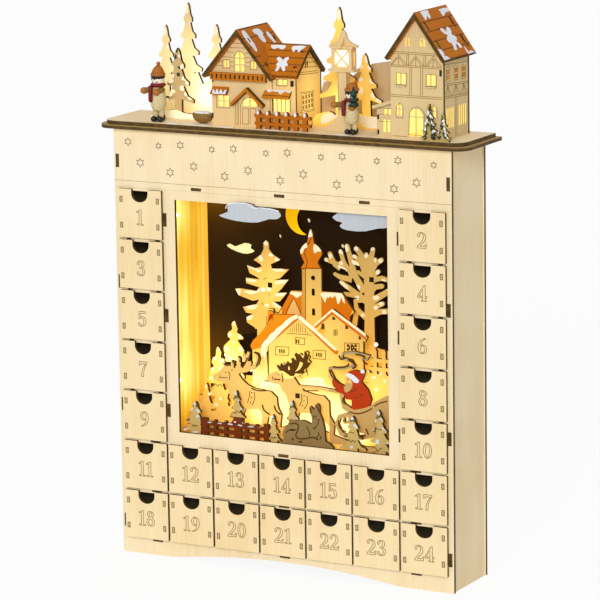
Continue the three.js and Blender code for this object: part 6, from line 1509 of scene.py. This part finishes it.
# Dim panes of the two end walls, each left, right, foot and head
chaletPanes = [(depth - 1.1, depth + 1.1, z, z + 3.2)
               for depth in (23.6, 28.6, 33.6, 38.4) for z in (380, 384.1, 388.2)]
chaletPanes += [(depth - 0.8, depth + 0.8, 414, 417.8) for depth in (29, 31.4)]
townPanes = [(depth + across, depth + across + 2.4, sill + up, sill + up + 4)
             for depth, sill in ((9.3, 412.4), (23.6, 411.9), (37.2, 411.3))
             for up in (0, 4.6) for across in (0, 3)]
amberPane = paint("amberWindowPane", "#c27a14", {"rough": 0.5})        # dull orange, unlit


def wallMarks():
    marks = newMarks()
    chaletFace, townFace = onFront(villageDepth["chalet"]), onFront(villageDepth["town"])
    chaletSide, townSide = onRight(endX["chalet"]), onRight(endX["town"])
    for place, lines in ((chaletFace, chaletFront), (chaletSide, chaletEnd), (townFace, townFront),
                         (townSide, townEnd)):
        for line in lines:
            held = [(max(p[0], 99.9), p[1]) if lines is townFront else p for p in line]
            stroke(marks, held, 0.45, place)
    for place, tabs in ((chaletFace, chaletTabs), (townFace, [townTab])):
        for outline in tabs:
            fill(marks, outline, place, 1)
    for place, panes in ((chaletSide, chaletPanes), (townSide, townPanes)):
        for pane in panes:
            fill(marks, box2(*pane), place, 2)
    for z in (377, 382.6, 387.6):                  # boards and tabs of the shed
        stroke(marks, [(85.8, z), (97.8, z)], 0.4, onFront(villageDepth["shed"]))
    for z in (366.5, 378.5):
        fill(marks, box2(84.6, 86.4, z, z + 3.8), onFront(villageDepth["shed"]), 1)
    for z in (391, 400):                           # grooves of the lamp post
        stroke(marks, [(47.4, z), (47.4, z + 14)], 0.3, onFront(villageDepth["lampPost"]))
    makeMarks("wall_lines", marks, [faintLine, peg, amberPane])


paintedFirSnow = [
    (-113.4, 417.1, 1.3, 1.8), (-106.5, 417.1, 1.6, 1.6), (-115.1, 407.5, 1.6, 1.4), (-104.2, 408, 2.2, 1.9),
    (-117, 404.9, 1.8, 1.2), (-114.2, 400, 1.3, 1.5), (-103, 398.6, 2.2, 1.6), (-116.5, 396, 2.5, 1.7),
    (-99.8, 395, 1.9, 1.8), (-105, 390.3, 2, 1.7), (-100.4, 386.1, 2.5, 1.9), (-98, 382.5, 1.6, 1.1),
    (-114.9, 387.3, 2.6, 1.6), (-117.5, 384.6, 2.2, 1.4), (-119.8, 380, 1.2, 1.2),
]
paintedFirGreen = [
    (-110, 421.9, 1, 1.9), (-111.3, 415.6, 1, 1), (-107.1, 407.3, 1.4, 0.9), (-108.7, 401.5, 1.1, 1.1),
    (-118.9, 402.2, 1.2, 0.8), (-101.3, 407.6, 0.8, 0.8), (-119.1, 392.1, 1.4, 0.9), (-120.1, 382.2, 1.3, 1.4),
    (-111.2, 416.8, 0.8, 0.8),
]
lampFirSnow = [
    (23.6, 423.1, 2.7, 2.7), (26.7, 411.6, 3.8, 2.3), (56.2, 415.1, 1.7, 1.5), (63.7, 415.2, 1.8, 2),
    (56, 405.2, 2.2, 1.7), (66.7, 404.1, 2.7, 1.9), (55.6, 396.1, 1.9, 2.9), (72.2, 389.4, 2.7, 2.6),
    (67.2, 392.8, 2.2, 2.3), (52.7, 419.2, 1.3, 1.3),
]
lampMounds = [
    [(19.6, 367.4), (20.3, 373.2), (23.6, 375.6), (26.8, 376.7), (33.8, 375.1), (33.1, 372.8), (24.7, 368.3)],
    [(53.4, 372.8), (57.2, 376.4), (62.3, 375), (67.3, 376.5), (72.4, 376.1), (72.3, 367.1), (58.4, 366.8)],
]
frontFirSnow = [
    (134.4, 387.8, 0.8, 1.6), (136.7, 385.5, 1.2, 1.2), (138.1, 385, 0.9, 1.1), (133, 381.7, 0.9, 1.4),
    (138, 380.8, 1.1, 1.3), (132, 379.2, 0.7, 1), (131.7, 374.9, 0.8, 1.4), (139, 377.2, 1.1, 1.2),
    (139, 373, 1.2, 1.2), (130, 370.6, 0.9, 1.1), (141.3, 370.7, 1, 1.2), (144.7, 381.1, 0.7, 1.1),
    (147.4, 381.9, 0.9, 1), (148.3, 379.5, 0.7, 0.9), (143.7, 376.9, 0.8, 1.2), (148.6, 375.9, 1.1, 1),
    (148.9, 373.6, 0.8, 0.7), (142.6, 372.6, 1, 1.2), (149.9, 371.2, 1.1, 1.3), (151.2, 368.9, 0.8, 0.8),
]
frontFirGreen = [
    (135.8, 390.9, 0.9, 1.6), (135.3, 386.6, 1.1, 1.4), (134.4, 383, 1.3, 1.4), (136.7, 381.3, 0.9, 1.2),
    (133.7, 378.1, 1.6, 1), (132.3, 375.6, 1, 1.8), (137.3, 375.9, 1.1, 2.4), (132, 371.9, 1.4, 1.4),
    (138.6, 369.3, 1.7, 2.4), (130.9, 368.2, 1.6, 1.6), (146, 384.2, 0.8, 1.8), (145.4, 380.6, 0.9, 1.3),
    (145.7, 377, 1.3, 1.5), (144, 373.3, 0.9, 1.4), (147.9, 372.3, 1, 1.2), (149.3, 370, 1.4, 1.5),
    (143.9, 369, 1.4, 1),
]


# Upright dabs from middles and reaches, made a little larger
def measured(spots, swell=1.15):
    return [(x, z, across * swell, up * swell, 0.0) for x, z, across, up in spots]


rearSnow = [
    (-115, 452, 1.8, 4), (-120, 441, 3, 2.4), (-110.5, 440, 2.6, 2.2), (-122.6, 428, 3.4, 2.2),
    (-107, 427, 3, 2.4), (-125, 411, 3.6, 2.2), (-136, 432, 1.6, 3.4), (-140, 421, 2.6, 2),
    (-132.4, 420, 2.4, 2), (-142, 408, 3, 2), (-130, 406, 2.6, 2), (-87.5, 435, 1.8, 3.8), (-91.6, 424, 2.8, 2),
    (-83.6, 423, 2.6, 2), (-94.5, 410, 3, 2.2), (-80.5, 409, 3, 2.2), (-103, 412, 3, 2.2), (-97, 396, 3, 2),
    (-78, 395, 3, 2),
]
picketCaps = {"pitch": 8.5, "radius": 1.75, "first": -21.0, "top": 378.2}


def treeCoats():
    litVillageSnow = paint("villageLitSnow", "#fff4d6", {
        "bump": 0.4, "size": 2, "deep": 0.95, "lamps": villageLamps, "glow": 0.35, "stops": [
            (0.0, "#8a7030"), (0.4, "#ffeaa0"), (1.0, "#fffbe0")]})
    darkGreen = paint("darkGreenPaint", "#38421e", {"size": 1.5, "deep": 0.7})
    mound = [(-138, 364.9), (-93, 364.9), (-94.5, 368.8), (-104, 369.8), (-112, 372.2), (-121, 371.2),
             (-130, 368.6)]
    paintBoard("painted_fir_paint", "painted_fir", villageDepth["paintedFir"], [
        band(dabs(measured(paintedFirGreen, 1.5), 200), darkGreen),
        band(dabs(measured(paintedFirSnow), 220) + [mound], litVillageSnow, snowCoat),
    ])
    spots = measured(lampFirSnow, 1.0) + [
        (36.6, 456, 2.2, 4.4, 0.0), (29.5, 441, 3.2, 2.4, 0.2), (44, 440, 3.2, 2.4, -0.2),
        (48.5, 424, 3.4, 2.4, -0.2), (61.4, 422, 1.5, 3.4, 0.0)]
    paintBoard("lamp_fir_paint", "lamp_firs", villageDepth["lampFirs"], [
        band(dabs(spots, 240) + soft(lampMounds, 2), litVillageSnow, snowCoat)])
    paintBoard("rear_fir_paint", "rear_silhouette", villageDepth["rear"], [
        band(dabs(measured(rearSnow, 1.0), 260), litVillageSnow, snowCoat)])
    paintBoard("front_fir_paint", "front_firs", villageDepth["frontFirs"], [
        band(dabs(measured(frontFirGreen, 1.35), 280), darkGreen),
        band(dabs(measured(frontFirSnow), 300), snow, snowCoat),
    ])
    caps = grow("caps", capTree(), {
        "Count": 6, "Pitch": picketCaps["pitch"] * mm, "Radius": picketCaps["radius"] * mm, "Seed": 3,
        "Material": snow})
    pickets = onFront(villageDepth["pickets"])
    joinGrown("picket_snow", [layOn(caps, pickets, picketCaps["first"], picketCaps["top"])])


# Snow that has run over the front edges of the two plates: x, depth, width, depth of the patch
plateSnow = [
    (-78, 3.6, 22, 2.2), (-50, 3, 14, 1.6), (-8, 3.2, 12, 1.4), (56, 3.6, 12, 2.6), (-100, 3, 12, 1.4),
    (140, 3.2, 9, 1.6),
]
corniceSnow = [(-88, 6.2, 9, 1.6), (135, 6.2, 7, 1.6), (48, 6.1, 8, 1.4)]


def plateMarks():
    marks = newMarks(0.3)
    for i, (x, depth, across, deep) in enumerate(plateSnow):
        fill(marks, dab(x, depth, across / 2, deep / 2 + 0.3, 400 + i, 16, 0.25), onTop(plateTop))
    for i, (x, depth, across, deep) in enumerate(corniceSnow):
        fill(marks, dab(x, depth - 0.6, across / 2, deep / 2, 430 + i, 14, 0.25), onTop(corniceTop))
    makeMarks("plate_snow", marks, [snow], thick=0.36)


# The lantern's frosted liner, with its lamp's light painted on as a glow, orange at its rim and nearly white in
# the middle
lantern = {"middle": (50.8, 18, 425), "size": (13.4, 4.6, 14.6), "lamp": (50.8, 16, 425, 7, 1.5)}


def lanternLight():
    shape = bmesh.new()
    made = bmesh.ops.create_cube(shape, size=1.0)
    for vertex in made["verts"]:
        x, depth, z = (middle + share * size for middle, share, size in zip(
            lantern["middle"], vertex.co, lantern["size"]))
        vertex.co = Vector((x, faceY + depth, z)) * mm
    look, tree, shader = newMaterial("frostedLanternLiner", "#fff6d8", 0.4)
    place, parts = coordinates(tree)
    total = glowField(tree, place, [lantern["lamp"]])
    color = addNode(tree, "ShaderNodeValToRGB", {0: total, "stops": [
        (0.0, "#c98a1a"), (0.5, "#ffd24a"), (0.8, "#fff0b0"), (1.0, "#fffbe8")]})
    tree.links.new(color.outputs[0], shader.inputs["Emission Color"])
    tree.links.new(total.outputs[0], shader.inputs["Emission Strength"])
    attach(shapedObject("lantern_light", shape, [look]), "cabinet")


# Turned and painted children in winter clothes: matt wool, satin skin, boots and mittens
figureLooks = {
    "coat": paint("creamCoatPaint", "#e2cf9c", {"size": 1.2, "bump": 0.6}),
    "trousers": paint("creamTrouserPaint", "#d8c28c", {"size": 1.5}),
    "boot": paint("blackBootPaint", "#2a2522", {"rough": 0.35}),
    "scarf": paint("darkRedScarfPaint", "#7a1410", {"size": 0.8, "bump": 0.5}),
    "skin": paint("whiteFacePaint", "#f6ead6", {"deep": 0.96, "rough": 0.35}),
    "hair": paint("blackHairPaint", "#1d1a18", {"rough": 0.4}),
    "hat": paint("mustardHatPaint", "#b4691a", {"size": 0.8, "bump": 0.5}),
    "mitten": paint("mustardMittenPaint", "#b8742a", {"size": 1, "rough": 0.4}),
    "sleeve": paint("oliveSleevePaint", "#8a6a24", {"size": 1}),
    "tree": paint("darkGreenTreePaint", "#1c3a2a", {"size": 1, "bump": 0.6}),
    "white": paint("whiteDotPaint", "#f4f4f2"),
    "blush": paint("pinkCheekPaint", "#d98a78"),
}


# Adds a turned shape whose axis runs from one point to another; rings are (share of the way, radius).
def addTurned(shape, start, end, rings, look, segments=20):
    start, end = Vector(start), Vector(end)
    axis = (end - start).normalized()
    side = axis.cross(Vector((0, 1, 0)))
    side = (side if side.length > 0.1 else axis.cross(Vector((1, 0, 0)))).normalized()
    other = axis.cross(side)
    rows = []
    for share, radius in rings:
        centre = start.lerp(end, share)
        if radius < 1e-4:
            rows.append([shape.verts.new(centre * mm)])
            continue
        rows.append([shape.verts.new((centre + (side * math.cos(a) + other * math.sin(a)) * radius) * mm)
                     for a in (k / segments * 2 * math.pi for k in range(segments))])
    index = list(figureLooks).index(look)
    for lower, upper in zip(rows, rows[1:]):
        for k in range(segments):
            n = (k + 1) % segments
            corners = [lower[0]] if len(lower) == 1 else [lower[k], lower[n]]
            corners += [upper[0]] if len(upper) == 1 else [upper[n], upper[k]]
            face = shape.faces.new(corners)
            face.material_index = index
            face.smooth = True


# The rings of a ball, with so many between its poles
def rounded(radius, caps):
    rings = [(0.0, 0.0)]
    for k in range(1, caps + 1):
        angle = k / (caps + 1) * math.pi
        rings.append(((1 - math.cos(angle)) / 2, math.sin(angle) * radius))
    return rings + [(1.0, 0.0)]


# A ball or an egg: its middle as x, depth and height, its half width and its half height
def addBall(shape, centre, rx, rz, look, caps=7):
    x, depth, z = centre
    addTurned(shape, (x, faceY + depth, z - rz), (x, faceY + depth, z + rz), rounded(rx, caps), look)


# A rod with rounded ends
def addRod(shape, start, end, radius, look):
    begin = Vector((start[0], faceY + start[1], start[2]))
    finish = Vector((end[0], faceY + end[1], end[2]))
    way = (finish - begin).normalized() * radius
    length = (finish - begin).length + 2 * radius
    roundEnd = radius / length
    rings = [(0, 0), (roundEnd * 0.3, radius * 0.7), (roundEnd, radius), (1 - roundEnd, radius),
             (1 - roundEnd * 0.3, radius * 0.7), (1, 0)]
    addTurned(shape, begin - way, finish + way, rings, look)


def childFigure(name, node, spec):
    x, depth, scale, lean = spec["x"], spec["depth"], spec["scale"], spec["lean"]
    ground = 365.2

    def at(across, ahead, up):
        return x + across * scale, depth - ahead * scale, ground + up * scale

    def addBetween(start, end, rings, look):
        addTurned(shape, (start[0], faceY + start[1], start[2]), (end[0], faceY + end[1], end[2]),
                  [(share, radius * scale) for share, radius in rings], look)

    def turnedUp(low, high, rings, look, shift=0.0):
        addBetween(at(0, 0, low), at(shift, 0, high), rings, look)

    shape = bmesh.new()
    for side in (-2.9, 2.9):
        addRod(shape, at(side, 0, 4), at(side * 0.9, 0, 12), 2.5 * scale, "trousers")
        addRod(shape, at(side - 0.5, 3, 2.4), at(side, -1.4, 2.5), 2.4 * scale, "boot")
        addRod(shape, at(side, -0.4, 3.4), at(side, -0.4, 5), 2.7 * scale, "boot")
    turnedUp(9, 30.5, [(0, 0), (0.0, 4.2), (0.06, 5.3), (0.2, 6.3), (0.4, 6.5), (0.6, 6.1), (0.8, 5.2),
                       (0.94, 3.8), (1, 0)], "coat")
    addBall(shape, at(0, 0, 34.2), 5.5 * scale, 5.6 * scale, "skin")
    turnedUp(28.4, 32.2, [(0, 0), (0.0, 4.4), (0.25, 6.1), (0.5, 6.5), (0.75, 6.1), (1, 4.6), (1, 0)], "scarf")
    addRod(shape, at(spec["scarfAt"], 6.3, 18), at(spec["scarfAt"] - 0.4, 6, 28.5), 1.9 * scale, "scarf")
    turnedUp(35.4, 39, [(0, 0), (0.0, 5.2), (0.3, 5.95), (1, 5.7), (1, 0)], "hair")
    turnedUp(37.6, 40.2, [(0, 0), (0.0, 5.6), (0.3, 6.3), (0.8, 6.1), (1, 5.4), (1, 0)], "hat")
    turnedUp(39.4, spec["hatTop"], [(0, 0), (0.0, 5.6), (0.35, 4.9), (0.65, 3.7), (0.88, 2.3), (0.97, 1.4),
                                    (1, 0)], "hat", lean)
    addBall(shape, at(lean, 0, spec["hatTop"] + 1.2), 1.7 * scale, 1.7 * scale, "hat", 5)
    for shoulder, hand, ahead, up in spec["arms"]:
        wrist = at(hand * 0.8 + shoulder * 0.2, ahead * 0.75, up + (26 - up) * 0.2)
        addRod(shape, at(shoulder, 1, 26.5), wrist, 2.4 * scale, "sleeve")
        palm = at(hand * 0.9 + shoulder * 0.1, ahead * 0.9, up)
        addRod(shape, palm, at(hand, ahead, up), 2.9 * scale, "mitten")
    for across, up, radius, look in ((-3.4, 35, 0.75, "hair"), (-0.4, 35.2, 0.75, "hair"),
                                     (-2.4, 33, 0.55, "hair"), (1.6, 33, 0.9, "blush")):
        out = 5.3 * math.cos(math.asin(min(0.95, abs(across) / 5.5)))
        addBall(shape, at(across, out - 0.2, up), radius * scale, radius * scale, look, 4)
    if spec.get("tree"):
        across, ahead = 5.4, 7
        for low, high, wide in ((26, 32.5, 4.8), (30, 37, 3.9), (34.4, 43.5, 3.0)):
            addBetween(at(across, ahead, low), at(across, ahead, high),
                       [(0, 0), (0.0, wide), (0.3, wide * 0.8), (1, 0)], "tree")
        for across, up in ((4.2, 28), (5.8, 30.6), (4.8, 33.4), (6, 35.8), (5.2, 38.6)):
            addBall(shape, at(across, 7 + 3.4 * (1 - (up - 26) / 19), up), 0.5 * scale, 0.5 * scale, "white", 4)
    piece = shapedObject(name, shape, figureLooks.values())
    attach(piece, "cabinet")
    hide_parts(node)


# Paper behind the windows of the chalet's gable, with the rooms' light painted on as a warm glow
gablePanes = [(-47.6, -35.3, 407.9, 426.8), (-57.6, -49.7, 411, 418.9), (-32.1, -24.8, 411.2, 419.4)]
windowGlowPaper = paint("warmWindowPaperGlow", "#f0d070", {
    "lamps": [(-41, 12, 416, 30, 0.7)],
    "stops": [(0.0, "#e0a838"), (0.4, "#f8d060"), (0.8, "#ffe890"), (1.0, "#fff4b8")]})


def sledSnow():
    shape = bmesh.new()
    for x, radius in ((-81.2, 3.4), (-77.2, 4.2), (-73, 3.5)):
        addBall(shape, (x, 13.6, plateTop + 8.6), radius, 1.9, "white", 5)
    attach(shapedObject("sled_snow", shape, figureLooks.values()), "cabinet")


leftChild = {"x": -115.6, "depth": 8.7, "scale": 1.0, "lean": 0.6, "hatTop": 46.4, "scarfAt": -3.6,
             "arms": [(-4.6, -13, 1.5, 25), (4.4, 1.6, 6.6, 25)]}
rightChild = {"x": 62.4, "depth": 8.4, "scale": 0.92, "lean": 4.4, "hatTop": 44.6, "scarfAt": -4.6,
              "arms": [(-4.4, -16.4, 2.5, 25), (4.6, 2.6, 5.6, 24)], "tree": True}


roofMarks()
wallMarks()
treeCoats()
plateMarks()
lanternLight()
sledSnow()
plates("gable_window_glow", [box2(*pane) for pane in gablePanes], 13.05, 13.4, windowGlowPaper)
childFigure("left_child", "figure_left", leftChild)
childFigure("right_child", "figure_right", rightChild)
print("village dressed")


# Stage, light and camera

def plainStage():
    floorMesh = bpy.data.meshes.new("floor")
    reach = 6.0
    floorMesh.from_pydata([(-reach, -reach, 0), (reach, -reach, 0), (reach, reach, 0), (-reach, reach, 0)], [],
                          [(0, 1, 2, 3)])
    floor = plainObject("floor", floorMesh)
    material, tree, shader = newMaterial("paleFloor", "#f4f3f1", 0.9)      # matt, nearly white to the camera
    path = addNode(tree, "ShaderNodeLightPath")
    seen = addNode(tree, "ShaderNodeMath", {"operation": "MULTIPLY", 0: path.outputs["Is Camera Ray"], 1: 0.92})
    white = addNode(tree, "ShaderNodeEmission", {"Color": (1, 1, 1, 1), "Strength": 1.0})
    blend = addNode(tree, "ShaderNodeMixShader", {0: seen, 1: shader, 2: white})
    tree.links.new(blend.outputs[0], tree.nodes["Material Output"].inputs["Surface"])
    floorMesh.materials.append(material)


def softWorld():
    world = bpy.data.worlds.new("studio")
    bpy.context.scene.world = world
    world.use_nodes = True
    tree = world.node_tree
    background = tree.nodes["Background"]
    path = addNode(tree, "ShaderNodeLightPath")
    seen = path.outputs["Is Camera Ray"]
    for ray in ("Is Glossy Ray", "Is Transmission Ray"):
        seen = addNode(tree, "ShaderNodeMath", {"operation": "MAXIMUM", 0: seen, 1: path.outputs[ray]})
    strength = addNode(tree, "ShaderNodeMapRange", {0: seen, 1: 0.0, 2: 1.0, 3: 0.55, 4: 1.0})
    background.inputs["Color"].default_value = (1, 1, 1, 1)
    tree.links.new(strength.outputs[0], background.inputs["Strength"])


def lamp(name, place, target, power, angle):
    light = bpy.data.lights.new(name, "SUN")
    light.energy = power
    light.angle = angle
    body = bpy.data.objects.new(name, light)
    body.location = place
    body.rotation_euler = (Vector(target) - Vector(place)).to_track_quat("-Z", "Y").to_euler()
    bpy.context.scene.collection.objects.link(body)


plainStage()
softWorld()
lamp("frontLight", (0.9, -3.0, 1.6), (0, 0, 0.25), 1.68, math.radians(25))

camera = bpy.data.cameras.new("camera")
camera.sensor_width = 36.0
camera.lens = 214.56
camera.clip_start = 0.05
cameraBody = bpy.data.objects.new("camera", camera)
cameraBody.location = (1.36193, -2.51190, 0.79600)
cameraBody.rotation_euler = [math.radians(a) for a in (78.6406, 0.8430, 28.2623)]
bpy.context.scene.collection.objects.link(cameraBody)
bpy.context.scene.camera = cameraBody
bpy.context.scene.view_settings.view_transform = "Standard"
print("stage, light and camera")
